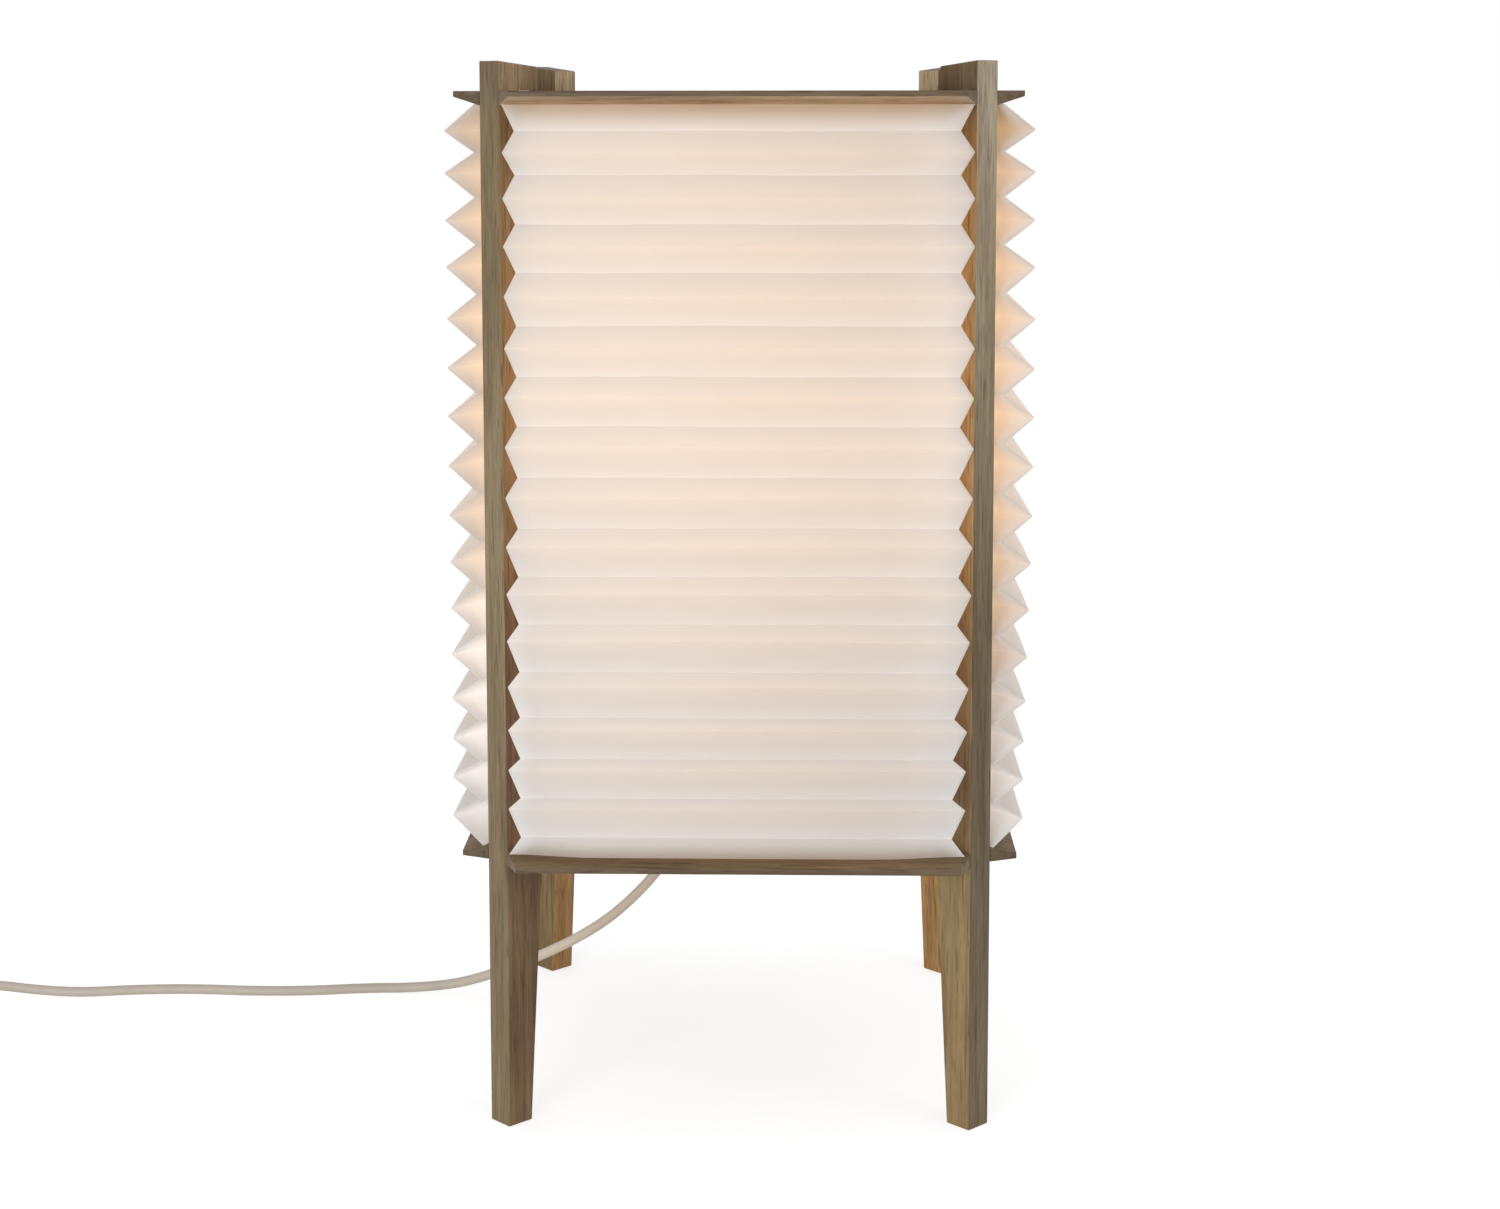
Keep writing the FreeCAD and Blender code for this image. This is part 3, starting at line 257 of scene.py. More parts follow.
def oak(name, along, edge, broad, inner, end):
    """Oiled oak, grain along x or z. Narrow edges, broad faces, inner faces and ends each have
    their own tone, told apart by the mesh's attributes. A tone is (height in mm, colour) stops,
    which paint the light and shade that fall along a piece, and the ends' is one colour."""
    wood = Finish(name)
    height = wood.maths("MULTIPLY", wood.upward(wood.place), 1 / (TONES_TO * MM))

    def grain(across, lengthwise):
        return wood.scaled(*(lengthwise if way == along else across for way in "xyz"))

    def by_height(stops):
        return wood.ramp(height, [(z / TONES_TO, tone) for z, tone in stops])

    waves = {"Scale": 1.0, "Distortion": 9.0, "Detail": 3.0, "Detail Scale": 0.9}
    figure = wood.add(
        "ShaderNodeTexWave",
        {"Vector": grain(26.0, 2.6), **waves},
        wave_type="BANDS",
        bands_direction="DIAGONAL",
    ).outputs["Fac"]
    streaks = wood.noise(grain(330.0, 14.0), 1.0, 4.0, 0.62)
    fibres = wood.noise(grain(1000.0, 80.0), 1.0, 3.0, 0.6)
    pores = wood.noise(grain(800.0, 45.0), 1.0, 1.5, 0.5, 0.3)
    blotches = wood.noise(grain(22.0, 7.0), 1.0, 3.0, 0.55)
    tone = wood.mixed("MIX", wood.attribute("broad"), by_height(edge), by_height(broad))
    tone = wood.mixed("MIX", wood.attribute("inner"), tone, by_height(inner))
    tone = wood.mixed("MIX", wood.attribute("end"), tone, end)
    for pattern, amount, *stops in (
        (figure, 0.5, (0.15, (0.72, 0.68, 0.64)), (0.55, (1.05, 1.05, 1.04))),
        (streaks, 0.9, (0.32, (0.78, 0.76, 0.74)), (0.66, (1.18, 1.18, 1.17))),
        (fibres, 0.8, (0.30, (0.80, 0.79, 0.78)), (0.68, (1.15, 1.15, 1.15))),
        (pores, 0.7, (0.35, (0.52, 0.47, 0.43)), (0.42, WHITE)),
        (blotches, 0.8, (0.30, (0.88, 0.87, 0.85)), (0.70, (1.10, 1.10, 1.09))),
    ):
        tone = wood.mixed("MULTIPLY", amount, tone, wood.ramp(pattern, stops))
    wood.surface(Base_Color=tone, Specular_IOR_Level=0.35)
    wood.roughen(streaks, 0.66, 0.50)
    wood.bump(wood.maths("ADD", streaks, fibres), 0.10, 0.6)
    return wood.material


# The sides that face the lamp's middle: painted warm glow from the lit shade as far as the top
# board, painted paler light above it.
INNER_PAINTED_GLOW = ((150, (0.58, 0.33, 0.125)), (500, (0.58, 0.33, 0.125)), (556, (0.63, 0.49, 0.31)))
LEG_END = (0.20, 0.145, 0.085)
# The front legs' tones by height are painted light and shade: the studio light on each side, and
# the shade's glow on the broad faces beside the paper.
left_oak_painted_light = oak(
    "oak_front_left_painted_light", "z",
    ((15, (0.265, 0.195, 0.103)), (135, (0.245, 0.180, 0.100)), (235, (0.290, 0.220, 0.128)),
     (390, (0.305, 0.235, 0.135)), (480, (0.222, 0.164, 0.088)), (570, (0.222, 0.164, 0.088))),
    ((15, (0.255, 0.160, 0.078)), (48, (0.195, 0.108, 0.055)), (72, (0.195, 0.112, 0.056)),
     (100, (0.250, 0.160, 0.074)), (150, (0.215, 0.130, 0.068)), (190, (0.150, 0.085, 0.046)),
     (240, (0.145, 0.080, 0.042)), (285, (0.165, 0.090, 0.045)),
     (340, (0.355, 0.230, 0.115)), (390, (0.360, 0.235, 0.113)), (500, (0.283, 0.192, 0.099)),
     (550, (0.275, 0.186, 0.096)), (558, (0.450, 0.315, 0.188))),
    INNER_PAINTED_GLOW, LEG_END,
)
right_oak_painted_light = oak(
    "oak_front_right_painted_light", "z",
    ((15, (0.227, 0.162, 0.086)), (130, (0.188, 0.140, 0.078)), (290, (0.182, 0.138, 0.080)),
     (330, (0.232, 0.180, 0.110)), (400, (0.345, 0.275, 0.175)), (500, (0.480, 0.395, 0.275)),
     (560, (0.580, 0.495, 0.365))),
    ((60, (0.352, 0.240, 0.110)), (100, (0.455, 0.335, 0.160)), (145, (0.420, 0.310, 0.142)),
     (190, (0.190, 0.115, 0.058)), (235, (0.375, 0.240, 0.118)),
     (290, (0.492, 0.338, 0.175)), (360, (0.538, 0.376, 0.195)), (440, (0.540, 0.376, 0.200)),
     (500, (0.500, 0.345, 0.180)), (550, (0.362, 0.250, 0.138)), (558, (0.170, 0.115, 0.060))),
    INNER_PAINTED_GLOW, LEG_END,
)
# The back legs: painted glow on the inner faces; the broad faces turn darker at the top board.
back_oak_painted_light = oak(
    "oak_back_painted_light", "z", ((0, (0.250, 0.190, 0.112)),),
    ((540, (0.260, 0.168, 0.078)), (558, (0.215, 0.145, 0.070))), INNER_PAINTED_GLOW, LEG_END,
)
# The boards: the underside of the top board is painted with the shade's glow.
board_oak_painted_glow = oak(
    "oak_flat_painted_glow", "x", ((0, (0.157, 0.112, 0.065)),), ((0, (0.220, 0.152, 0.082)),),
    ((0, (0.465, 0.342, 0.222)),), (0.20, 0.148, 0.100),
)

BULB = (0.0, 0.0, 0.378)
TO_FACE = 0.147  # metres from the bulb to the middle of a face
DIRECT_LIGHT = 0.13  # what the bulb itself adds there to paper that is square to it
LAMP_TINT = (0.371, 0.215, 0.092)


def lit_paper(name):
    """White paper with the lamp's light coming through, painted into its emission. Its attributes:
    inside_light is how much of the shade's even light comes through at each place, daylight the
    painted neutral part of the light, and fold runs from 0 at an inner fold to 1 at an outer one."""
    paper = Finish(name)
    normal = paper.add("ShaderNodeNewGeometry", {}).outputs["True Normal"]
    towards = paper.vector("SUBTRACT", BULB, paper.place)
    away = paper.vector("LENGTH", towards, out="Value")
    facing = paper.maths("ABSOLUTE", paper.vector("DOT_PRODUCT", normal, towards, out="Value"))
    # facing holds one length of the way to the bulb, and the light falls with its square
    direct = paper.maths("DIVIDE", facing, paper.maths("POWER", away, 3.0))
    direct = paper.maths("MULTIPLY", direct, TO_FACE**2 * DIRECT_LIGHT)
    glow = paper.maths("ADD", direct, paper.attribute("inside_light"))
    warm = {0: LAMP_TINT, "Scale": glow}
    lamp = paper.add("ShaderNodeVectorMath", warm, operation="SCALE").outputs["Vector"]

    # Painted light: an upper face is whiter towards its outer fold; an under face is lifted low on
    # the shade.
    upper = paper.maths("GREATER_THAN", paper.upward(normal), 0.0)
    fold = paper.attribute("fold")
    white = paper.maths("MULTIPLY_ADD", paper.maths("POWER", fold, 2.5), 0.11, -0.012)
    under = paper.ranged(paper.upward(paper.place), 0.46, 0.25, 0.0, 0.055)
    # a Mix node takes numbers at 2 and 3
    painted_lift = paper.add("ShaderNodeMix", {0: upper, 2: under, 3: white}, data_type="FLOAT")
    day = paper.maths("ADD", paper.attribute("daylight"), painted_lift.outputs["Result"])
    through = paper.vector("ADD", lamp, day)

    # Under each outer fold its crease shows as a fine grey line of painted shade.
    crease_shade = paper.ramp(fold, [(0.93, WHITE), (0.985, (0.90, 0.91, 0.93))])
    crease_shaded = paper.mixed("MIX", upper, crease_shade, WHITE)
    clouds = paper.noise(paper.scaled(0.5, 0.5, 3.0), 60.0, 4.0, 0.6)
    veil = paper.ramp(clouds, [(0.25, grey(0.975)), (0.75, grey(1.02))])
    seen = paper.mixed("MULTIPLY", 1.0, through, veil)
    body = paper.ramp(clouds, [(0.25, (0.495, 0.495, 0.493)), (0.75, (0.505, 0.505, 0.502))])
    paper.surface(
        Emission_Color=paper.mixed("MULTIPLY", 1.0, seen, crease_shaded),
        Emission_Strength=1.0,
        Base_Color=body,
        Roughness=0.85,
        Specular_IOR_Level=0.2,
    )
    paper.bump(paper.noise(paper.place, 900.0, 3.0, 0.6), 0.06, 0.5)
    return paper.material


def moulded(name, colour, roughness, grain, scale=1400.0, uneven=0.04, painted_light=None):
    """Moulded plastic: one colour with a faint unevenness, and a fine skin as deep as grain says,
    in mm. Its last argument is a colour of painted light for what is off the floor, under the lamp."""
    plastic = Finish(name)
    cloud = plastic.noise(plastic.place, 60.0, 3.0, 0.6)
    low = tuple(c * (1 - uneven) for c in colour)
    high = tuple(c * (1 + uneven) for c in colour)
    tone = plastic.ramp(cloud, [(0.3, low), (0.7, high)])
    # painted light: what is off the floor, under the lamp, turns to a lighter, warmer colour
    if painted_light:
        painted_lift = plastic.ranged(plastic.upward(plastic.place), 0.006, 0.040)
        tone = plastic.mixed("MIX", painted_lift, tone, painted_light)
    plastic.surface(Base_Color=tone)
    plastic.roughen(cloud, roughness * 0.88, roughness * 1.12)
    plastic.bump(plastic.noise(plastic.place, scale, 2.0, 0.5), grain, 0.7)
    return plastic.material


def metal(name, colour, roughness, brushed=(900.0, 900.0, 40.0)):
    """Bare or plated metal with fine drawn lines."""
    bare = Finish(name)
    lines = bare.noise(bare.scaled(*brushed), 1.0, 3.0, 0.6)
    cloud = bare.noise(bare.place, 120.0, 2.0, 0.6)
    low = tuple(c * 0.85 for c in colour)
    bare.surface(Base_Color=bare.ramp(cloud, [(0.3, low), (0.7, colour)]), Metallic=1.0)
    bare.roughen(lines, roughness * 0.7, roughness * 1.4)
    bare.bump(lines, 0.01, 0.5)
    return bare.material


def lit_globe(name):
    """Opal glass, evenly bright, and dimmer towards its neck."""
    opal = Finish(name)
    cloud = opal.noise(opal.place, 70.0, 2.0, 0.5)
    opal.surface(
        Emission_Color=opal.ramp(cloud, [(0.3, (1.0, 0.80, 0.58)), (0.7, (1.0, 0.84, 0.64))]),
        Emission_Strength=opal.ranged(opal.upward(opal.place), 0.330, 0.360, 0.8, 2.0),
        Base_Color=(0.90, 0.88, 0.84),
        Roughness=0.35,
    )
    opal.bump(cloud, 0.02, 0.4)
    return opal.material


shade_paper = lit_paper("shade_paper")
white_sheath = moulded("white_sheath", (0.64, 0.565, 0.47), 0.45, 0.01, painted_light=(0.90, 0.75, 0.60))
white_case = moulded("white_case", (0.76, 0.76, 0.74), 0.30, 0.008)
white_relief = moulded("white_relief", (0.74, 0.73, 0.70), 0.50, 0.02)
black_case = moulded("black_case", (0.022, 0.022, 0.023), 0.38, 0.015, uneven=0.15)
tie_black = moulded("tie_black", (0.03, 0.03, 0.03), 0.55, 0.03, 900.0, uneven=0.2)
fired_clay = moulded("fired_clay", (0.74, 0.72, 0.67), 0.75, 0.04, 800.0)
bulb_collar = moulded("bulb_collar", (0.78, 0.78, 0.76), 0.25, 0.005)
glass_bead = moulded("glass_bead", (0.012, 0.012, 0.014), 0.12, 0.004)
zinc = metal("zinc", (0.55, 0.56, 0.56), 0.34)
bright_pins = metal("bright_pins", (0.72, 0.70, 0.62), 0.22, (40.0, 900.0, 900.0))
bulb_shell = metal("bulb_shell", (0.74, 0.73, 0.70), 0.26, (300.0, 300.0, 300.0))
opal = lit_globe("opal")

FINISHES = {
    white_sheath: ("cord_riser",),
    white_relief: ("cord_gland", "gland_nut", "plug_body", "plug_sleeves"),
    white_case: ("switch_base", "switch_cover", "switch_rocker"),
    black_case: ("holder_cap", "holder_skirt"),
    tie_black: ("coil_tie",),
    fired_clay: ("contact_block",),
    bulb_collar: ("bulb_collar",),
    glass_bead: ("bulb_insulator",),
    zinc: ("stem_tube", "stem_nuts", "stem_washers", "terminal_screws", "switch_screws",
           "switch_pin"),
    bright_pins: ("plug_pins", "centre_contact", "side_contact", "switch_contacts"),
    bulb_shell: ("bulb_cap", "bulb_tip"),
    opal: ("bulb_globe",),
}
for finish, names in FINISHES.items():
    for name in names:
        slots = nodes[name].data.materials
        slots.clear()
        slots.append(finish)
flex.data.materials.append(white_sheath)


def made_piece(name, bm, finish, sharp_from):
    """The bmesh as an object, shaded smooth over folds of less than an angle in degrees."""
    mesh = bpy.data.meshes.new(name)
    bm.to_mesh(mesh)
    bm.free()
    for face in mesh.polygons:
        face.use_smooth = True
    mesh.set_sharp_from_angle(angle=math.radians(sharp_from))
    mesh.materials.append(finish)
    piece = bpy.data.objects.new(name, mesh)
    bpy.context.scene.collection.objects.link(piece)
    return piece


def round_edges(bm, turned_by, width, clamp):
    """Rounds the edges where the surface turns by more than an angle in degrees."""
    edges = [
        e
        for e in bm.edges
        if len(e.link_faces) == 2 and e.calc_face_angle(0.0) > math.radians(turned_by)
    ]
    bmesh.ops.bevel(
        bm,
        geom=edges,
        affect="EDGES",
        offset=width * MM,
        segments=2,
        profile=0.5,
        material=-1,
        clamp_overlap=clamp,
    )


def eased(name, finish, width):
    """A leg or board again, with every arris eased to a width in mm."""
    bm = bmesh.new()
    bm.from_mesh(nodes[name].data)
    bmesh.ops.remove_doubles(bm, verts=bm.verts[:], dist=0.01 * MM)
    bmesh.ops.dissolve_limit(
        bm, angle_limit=math.radians(0.3), verts=bm.verts[:], edges=bm.edges[:]
    )
    round_edges(bm, 35, width, clamp=True)
    bmesh.ops.recalc_face_normals(bm, faces=bm.faces[:])
    piece = made_piece(name + "_eased", bm, finish, sharp_from=32)
    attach(piece, "lamp")
    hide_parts(name)
    return piece


def mark_faces(mesh, marks):
    """Writes one face attribute for each named test of a face's middle and normal."""
    for label, test in marks.items():
        layer = mesh.attributes.new(label, "FLOAT", "FACE")
        layer.data.foreach_set(
            "value", [1.0 if test(f.center, f.normal) else 0.0 for f in mesh.polygons]
        )


def outward(centre, normal):
    """How far a leg's face looks away from the lamp's middle, from 1 to -1."""
    arm = Vector((centre.x, centre.y, 0)).normalized()
    return arm.dot(normal)


ALONG = 0.8  # a normal with more of a direction than this points along it
TURNED = 0.6  # a leg's face looks outwards or inwards by more than this, or else is a broad one
MID_HEIGHT = 0.4  # metres, between the two boards
LEG_MARKS = {
    "broad": lambda middle, normal: abs(outward(middle, normal)) < TURNED,
    "inner": lambda middle, normal: outward(middle, normal) < -TURNED,
    "end": lambda middle, normal: abs(normal.z) > ALONG,
}
BOARD_MARKS = {
    "broad": lambda middle, normal: abs(normal.z) > ALONG,
    # under the top board, where the shade's light is painted on
    "inner": lambda middle, normal: normal.z < -ALONG and middle.z > MID_HEIGHT,
    "end": lambda middle, normal: abs(normal.x) > ALONG,
}
for name, finish, arris, marks in (
    ("leg_front_left", left_oak_painted_light, 0.3, LEG_MARKS),
    ("leg_front_right", right_oak_painted_light, 0.3, LEG_MARKS),
    ("leg_back_left", back_oak_painted_light, 0.3, LEG_MARKS),
    ("leg_back_right", back_oak_painted_light, 0.3, LEG_MARKS),
    ("top_plate", board_oak_painted_glow, 0.4, BOARD_MARKS),
    ("bottom_plate", board_oak_painted_glow, 0.4, BOARD_MARKS),
):
    mark_faces(eased(name, finish, arris).data, marks)

# The shade: one sheet of folded paper. At its outer and inner folds, in mm: half its width, half
# the width of the slot that each corner leaves for a leg, and how far from the lamp's middle the
# slot's back lies.
HALF_OUT, HALF_IN = 155.8, 138.8
SIDE_OUT, SIDE_IN = 29.3, 11.4
BACK_OUT, BACK_IN = 138.1, 155.1
RIM_TOP, RIM_LOW = 551.2, 154.4
FIRST_FOLD, LAST_FOLD = 538.7, 167.5
# from the top, how the outer folds share the height between the first and the last
FOLD_SHARES = (
    22.4, 25.2, 24.9, 27.5, 26.4, 26.0, 26.8, 26.5, 25.5, 25.3, 25.5, 24.4, 22.0, 21.3, 21.3,
)
# an outline's runs, four to a quarter: a slot's side, back and side, then a face
SLOT_BACK, FACE = 1, 3


def shade_section(half, side, back):
    """The shade's plan at one fold: four places to a leg, from the front right one round."""
    corner = [
        (half - ROOT2 * side, -half),
        ((back - side) / ROOT2, -(back + side) / ROOT2),
        ((back + side) / ROOT2, -(back - side) / ROOT2),
        (half, ROOT2 * side - half),
    ]
    ring = []
    for _ in range(4):
        ring += corner
        corner = [(-y, x) for x, y in corner]
    return ring


def fold_heights():
    outer = [FIRST_FOLD]
    for share in FOLD_SHARES:
        outer.append(outer[-1] - share / sum(FOLD_SHARES) * (FIRST_FOLD - LAST_FOLD))
    heights = [RIM_TOP]
    for upper, lower in zip(outer, outer[1:]):
        heights += [upper, (upper + lower) / 2]
    return heights + [outer[-1], RIM_LOW]


def placed(ring, where):
    """The point at a place on a closed outline: 3.25 is a quarter of the way from 3 to 4."""
    k = int(where)
    (ax, ay), (bx, by) = ring[k % len(ring)], ring[(k + 1) % len(ring)]
    return ax + (bx - ax) * (where - k), ay + (by - ay) * (where - k)


def place_of(ring, x, y):
    """The place on the outline that is nearest to a point."""
    best = None
    for k in range(len(ring)):
        (ax, ay), (bx, by) = ring[k], ring[(k + 1) % len(ring)]
        run = (bx - ax) ** 2 + (by - ay) ** 2
        t = max(0.0, min(1.0, ((x - ax) * (bx - ax) + (y - ay) * (by - ay)) / run))
        off = math.hypot(x - ax - (bx - ax) * t, y - ay - (by - ay) * t)
        if best is None or off < best[0]:
            best = (off, k + t)
    return best[1]


def between(stops, at):
    """The value at a height or share, from (height or share, value) stops."""
    for (a, low), (b, high) in zip(stops, stops[1:]):
        if at <= b:
            return low + (high - low) * max(0.0, (at - a) / (b - a))
    return stops[-1][1]


# How much of the lamp's even light comes through at each height, on the faces and in the corners.
FACE_LIGHT = (
    (150, 0.32), (165, 0.34), (180, 0.37), (205, 0.42), (250, 0.50), (288, 0.61), (314, 0.68),
    (353, 0.74), (400, 0.78), (490, 0.77), (510, 0.73), (535, 0.67), (556, 0.70),
)
CORNER_LIGHT = (
    (150, 0.20), (205, 0.32), (235, 0.45), (265, 0.68), (300, 0.88), (350, 1.05), (420, 1.16),
    (470, 1.14), (500, 1.08), (556, 0.85),
)
# on each face, how far the light falls off 100 mm from its middle, and what is left at its end
FACE_FALL = {
    "left": ((150, 0.17), (300, 0.14), (390, 0.04), (500, 0.11)),
    "right": ((150, 0.22), (300, 0.12), (400, 0.02), (500, 0.14)),
}
FACE_END = {
    "left": ((150, 0.72), (300, 0.80), (390, 0.97), (500, 0.75)),
    "right": ((150, 0.42), (300, 0.62), (400, 0.85), (520, 0.55)),
}
# what the painted neutral light gains along a face, and in the corners by height
FACE_DAY = (
    (0.0, 0.03), (0.3, 0.012), (0.5, -0.01), (0.7, -0.025), (0.85, -0.025), (0.93, 0.01),
    (1.0, 0.05),
)
CORNER_DAY = {
    "left": (
        (150, 0.24), (190, 0.28), (215, 0.31), (262, 0.28), (285, 0.20), (305, 0.10), (330, 0.05),
        (420, 0.04), (495, 0.02), (510, 0.02), (556, -0.05),
    ),
    "right": (
        (150, 0.17), (190, 0.15), (225, 0.08), (260, -0.02), (285, -0.03), (330, -0.01),
        (420, 0.01), (480, -0.03), (510, -0.03), (556, -0.16),
    ),
}
# how far the right-hand side stands out of true, in or out
RIGHT_SWAY = (
    (154, -1.9), (210, -1.5), (257, -0.2), (307, 1.2), (360, 1.5), (440, 1.9), (500, 1.0),
    (551, 0.3),
)
FACE_RUN = 245.0  # a face's length at its inner folds
END_BAND = 22.0  # over which a face's light falls to what is left at its end
SLOT_START = 0.60  # of the face's light is left where a slot's side starts
SLOT_FULL = 0.35  # the share of the slot's side after which it has the corner's light
LOW_LIGHT = ((230, 0.07), (290, 0.0))  # what the inner folds gain low on the shade
EVEN_DAY = 0.13
DAY_START, DAY_RUN = 0.4, 0.4  # how a slot's side takes on the corner's neutral light


def inside_light(where, z, fold):
    """How much of the even light inside the shade comes through at a place."""
    k, t = int(where) % 4, where - int(where)
    face, corner = between(FACE_LIGHT, z), between(CORNER_LIGHT, z)
    if k == FACE:
        side = "left" if t < 0.5 else "right"
        from_end = min(t, 1 - t) * FACE_RUN
        fall = 1 - between(FACE_FALL[side], z) * ((FACE_RUN / 2 - from_end) / 100) ** 2
        rest = between(FACE_END[side], z)
        low = between(LOW_LIGHT, z) * (1 - fold)
        return (face + low) * fall * (rest + (1 - rest) * min(1.0, from_end / END_BAND))
    if k == SLOT_BACK:
        return corner
    depth = t if k == 0 else 1 - t
    start = face * SLOT_START
    return start + (corner - start) * min(1.0, depth / SLOT_FULL)


def daylight(where, z, side):
    """The painted neutral light: nearly even over the faces, with a fall of its own in the corners.
    """
    k, t = int(where) % 4, where - int(where)
    if k == FACE:
        return EVEN_DAY + between(FACE_DAY, t)
    depth = (t, 1.0, 1 - t)[k]
    return EVEN_DAY + between(CORNER_DAY[side], z) * min(1.0, DAY_START + depth / DAY_RUN)


PAPER = 0.45  # its thickness, and the width of a rounded crease
BEVEL_SLOPE = 5.0 / 16.0  # the boards' bevel, on which the rims are glued
BEVEL_LINE = 134.3  # from the lamp's middle to where the bevel starts
RIM_IN = 0.8  # from the inner folds in to the line where the rims meet the bevel
RIM_RISE = BEVEL_SLOPE * (HALF_IN - RIM_IN - BEVEL_LINE)
LOW_RIM_OUT = 2.9  # how much further out the rim lies on the lower board
LOW_RIM_EASE = 48.0  # from a face's end to where it is that far out
LONG_RUN, MIDDLE_RUN = 100, 25  # the least lengths of the runs that are cut up
LONG_CUTS, MIDDLE_CUTS = 23, 3
CORNER_FOLD = 0.45  # stands for every fold in the corners, where no crease shows
FOLD_TURN = 12  # degrees, less than any fold turns
WANDER_OVER = 70.0  # the size of the folds' unevenness, and how far it goes out and up
WANDER_OUT, WANDER_UP = 0.45, 0.5
SAME = 1e-6  # shares of a run nearer than this are one


def paper_tube(outline, heights):
    """A straight tube on an outline, with a ring of edges at each height."""
    bm = bmesh.new()
    ring = [bm.verts.new((x * MM, y * MM, heights[0] * MM)) for x, y in outline]
    for edge in [bm.edges.new(ends) for ends in zip(ring, ring[1:] + ring[:1])]:
        run = edge.calc_length() / MM
        if run > MIDDLE_RUN:
            cuts = LONG_CUTS if run > LONG_RUN else MIDDLE_CUTS
            bmesh.ops.subdivide_edges(bm, edges=[edge], cuts=cuts)
    edges = bm.edges[:]
    for above, below in zip(heights, heights[1:]):
        made = bmesh.ops.extrude_edge_only(bm, edges=edges)["geom"]
        fresh = {v for v in made if isinstance(v, bmesh.types.BMVert)}
        edges = [
            e
            for e in made
            if isinstance(e, bmesh.types.BMEdge) and all(v in fresh for v in e.verts)
        ]
        bmesh.ops.translate(bm, verts=list(fresh), vec=(0, 0, (below - above) * MM))
    return bm


def pushed_out(x, y, z, t):
    """Where the lower rim lies: away from the corners, further out and down the bevel."""
    ease = min(1.0, min(t, 1 - t) * FACE_RUN / LOW_RIM_EASE)
    out = LOW_RIM_OUT * math.sin(ease * math.pi / 2) ** 2
    if abs(x) > abs(y):
        x += math.copysign(out, x)
    else:
        y += math.copysign(out, y)
    return x, y, z - BEVEL_SLOPE * out


def wandered(x, y, z):
    """The place as folded by hand, where no fold is quite straight."""
    spot = Vector((x, y, z)) / WANDER_OVER
    out = noise.noise(spot) * WANDER_OUT
    arm = Vector((x, y)).normalized()
    up = noise.noise(spot + Vector((31.0, 7.0, 3.0))) * WANDER_UP
    return x + arm.x * out, y + arm.y * out, z + up


def folded_shade():
    """A straight tube at the inner folds, with its outer folds pulled out and its rims on the
    boards' bevels."""
    inner = shade_section(HALF_IN, SIDE_IN, BACK_IN)
    outer = shade_section(HALF_OUT, SIDE_OUT, BACK_OUT)
    heights = fold_heights()
    bm = paper_tube(inner, heights)
    level = {round(z * 100): i for i, z in enumerate(heights)}
    last = len(heights) - 1
    light = bm.verts.layers.float.new("inside_light")
    day = bm.verts.layers.float.new("daylight")
    fold = bm.verts.layers.float.new("fold")
    for v in bm.verts:
        i = level[round(v.co.z / MM * 100)]
        x, y, z = v.co / MM
        where = place_of(inner, x, y)
        k, t = int(where + SAME) % 4, where - int(where)
        on_face = k == FACE or t < SAME and k == 0 or t > 1 - SAME and k == 2
        v[fold] = float(i % 2) if on_face else CORNER_FOLD
        v[light] = inside_light(where, z, v[fold])
        v[day] = daylight(where, z, "right" if x > 0 else "left")
        if i % 2:
            x, y = placed(outer, where)
        elif on_face and i in (0, last):
            z += RIM_RISE if i == 0 else -RIM_RISE
        if k == FACE and i == last:
            x, y, z = pushed_out(x, y, z, t)
        if 0 < i < last:
            x, y, z = wandered(x, y, z)
        if x > 0:
            x += between(RIGHT_SWAY, z) * x / HALF_OUT
        v.co = Vector((x, y, z)) * MM
    bmesh.ops.recalc_face_normals(bm, faces=bm.faces[:])
    round_edges(bm, FOLD_TURN, PAPER, clamp=False)
    shade = made_piece("shade", bm, shade_paper, sharp_from=50)
    wall = shade.modifiers.new("paper", "SOLIDIFY")
    wall.thickness = PAPER * MM
    wall.offset = -1.0
    return shade


shade = folded_shade()
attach(shade, "lamp")
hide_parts("pleated_shade")


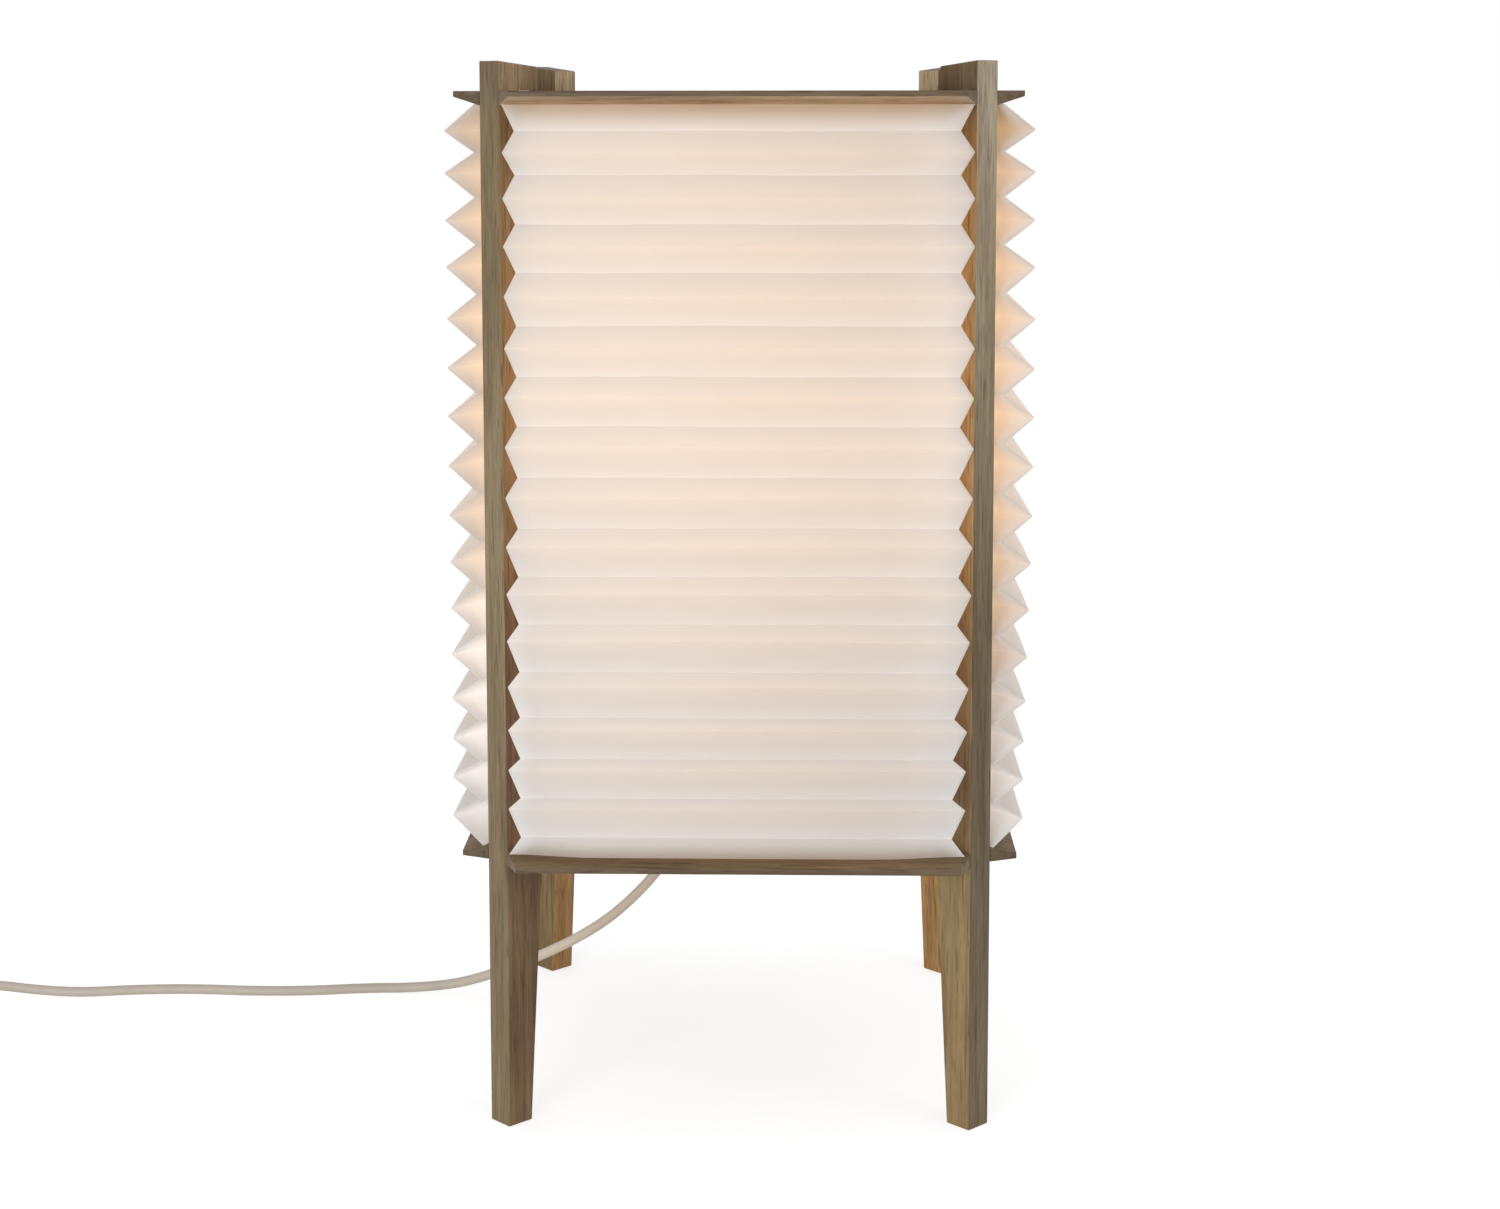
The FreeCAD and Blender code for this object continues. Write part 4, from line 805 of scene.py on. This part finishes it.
# Studio: a pale floor, white behind, and two broad soft lights.
def background_rays(tree):
    """1 for the rays that show the background: the camera's own, off metal and through glass."""
    path = tree.nodes.new("ShaderNodeLightPath")
    seen = path.outputs["Is Camera Ray"]
    for ray in ("Is Glossy Ray", "Is Transmission Ray"):
        either = tree.nodes.new("ShaderNodeMath")
        either.operation = "MAXIMUM"
        tree.links.new(seen, either.inputs[0])
        tree.links.new(path.outputs[ray], either.inputs[1])
        seen = either.outputs[0]
    return seen


FLOOR_SIZE = 6.0
FLOOR_GLOW = 0.66  # lifts the floor to white and leaves the shadow on it


def pale_floor():
    ground = Finish("pale_floor")
    strength = ground.maths("MULTIPLY", background_rays(ground.tree), FLOOR_GLOW)
    ground.surface(
        Base_Color=grey(0.80), Roughness=0.9, Emission_Color=WHITE, Emission_Strength=strength
    )
    bm = bmesh.new()
    bmesh.ops.create_grid(bm, x_segments=1, y_segments=1, size=FLOOR_SIZE)
    return made_piece("floor", bm, ground.material, sharp_from=30)


floor = pale_floor()


def studio_world():
    """The room's soft light on the lamp, with plain white behind it."""
    world = bpy.data.worlds.new("studio")
    world.use_nodes = True
    tree = world.node_tree
    tree.nodes.clear()
    both = tree.nodes.new("ShaderNodeMixShader")
    tree.links.new(background_rays(tree), both.inputs[0])
    for index, colour, strength in ((1, (0.96, 0.98, 1.0), 0.47), (2, WHITE, 1.0)):
        background = tree.nodes.new("ShaderNodeBackground")
        background.inputs["Color"].default_value = (*colour, 1.0)
        background.inputs["Strength"].default_value = strength
        tree.links.new(background.outputs[0], both.inputs[index])
    output = tree.nodes.new("ShaderNodeOutputWorld")
    tree.links.new(both.outputs[0], output.inputs["Surface"])
    return world


bpy.context.scene.world = studio_world()


def soft_light(name, place, aim, size, power):
    panel = bpy.data.lights.new(name, "AREA")
    panel.size = size
    panel.energy = power
    lamp = bpy.data.objects.new(name, panel)
    lamp.location = place
    way = Vector(aim) - Vector(place)
    lamp.rotation_euler = way.to_track_quat("-Z", "Y").to_euler()
    bpy.context.scene.collection.objects.link(lamp)


soft_light("key_panel", place=(-1.1, -2.6, 0.42), aim=(0, 0, 0.33), size=1.4, power=33.0)
soft_light("right_panel", place=(2.2, -1.6, 1.3), aim=(0, 0, 0.40), size=1.2, power=6.0)

bpy.context.scene.view_settings.view_transform = "Standard"
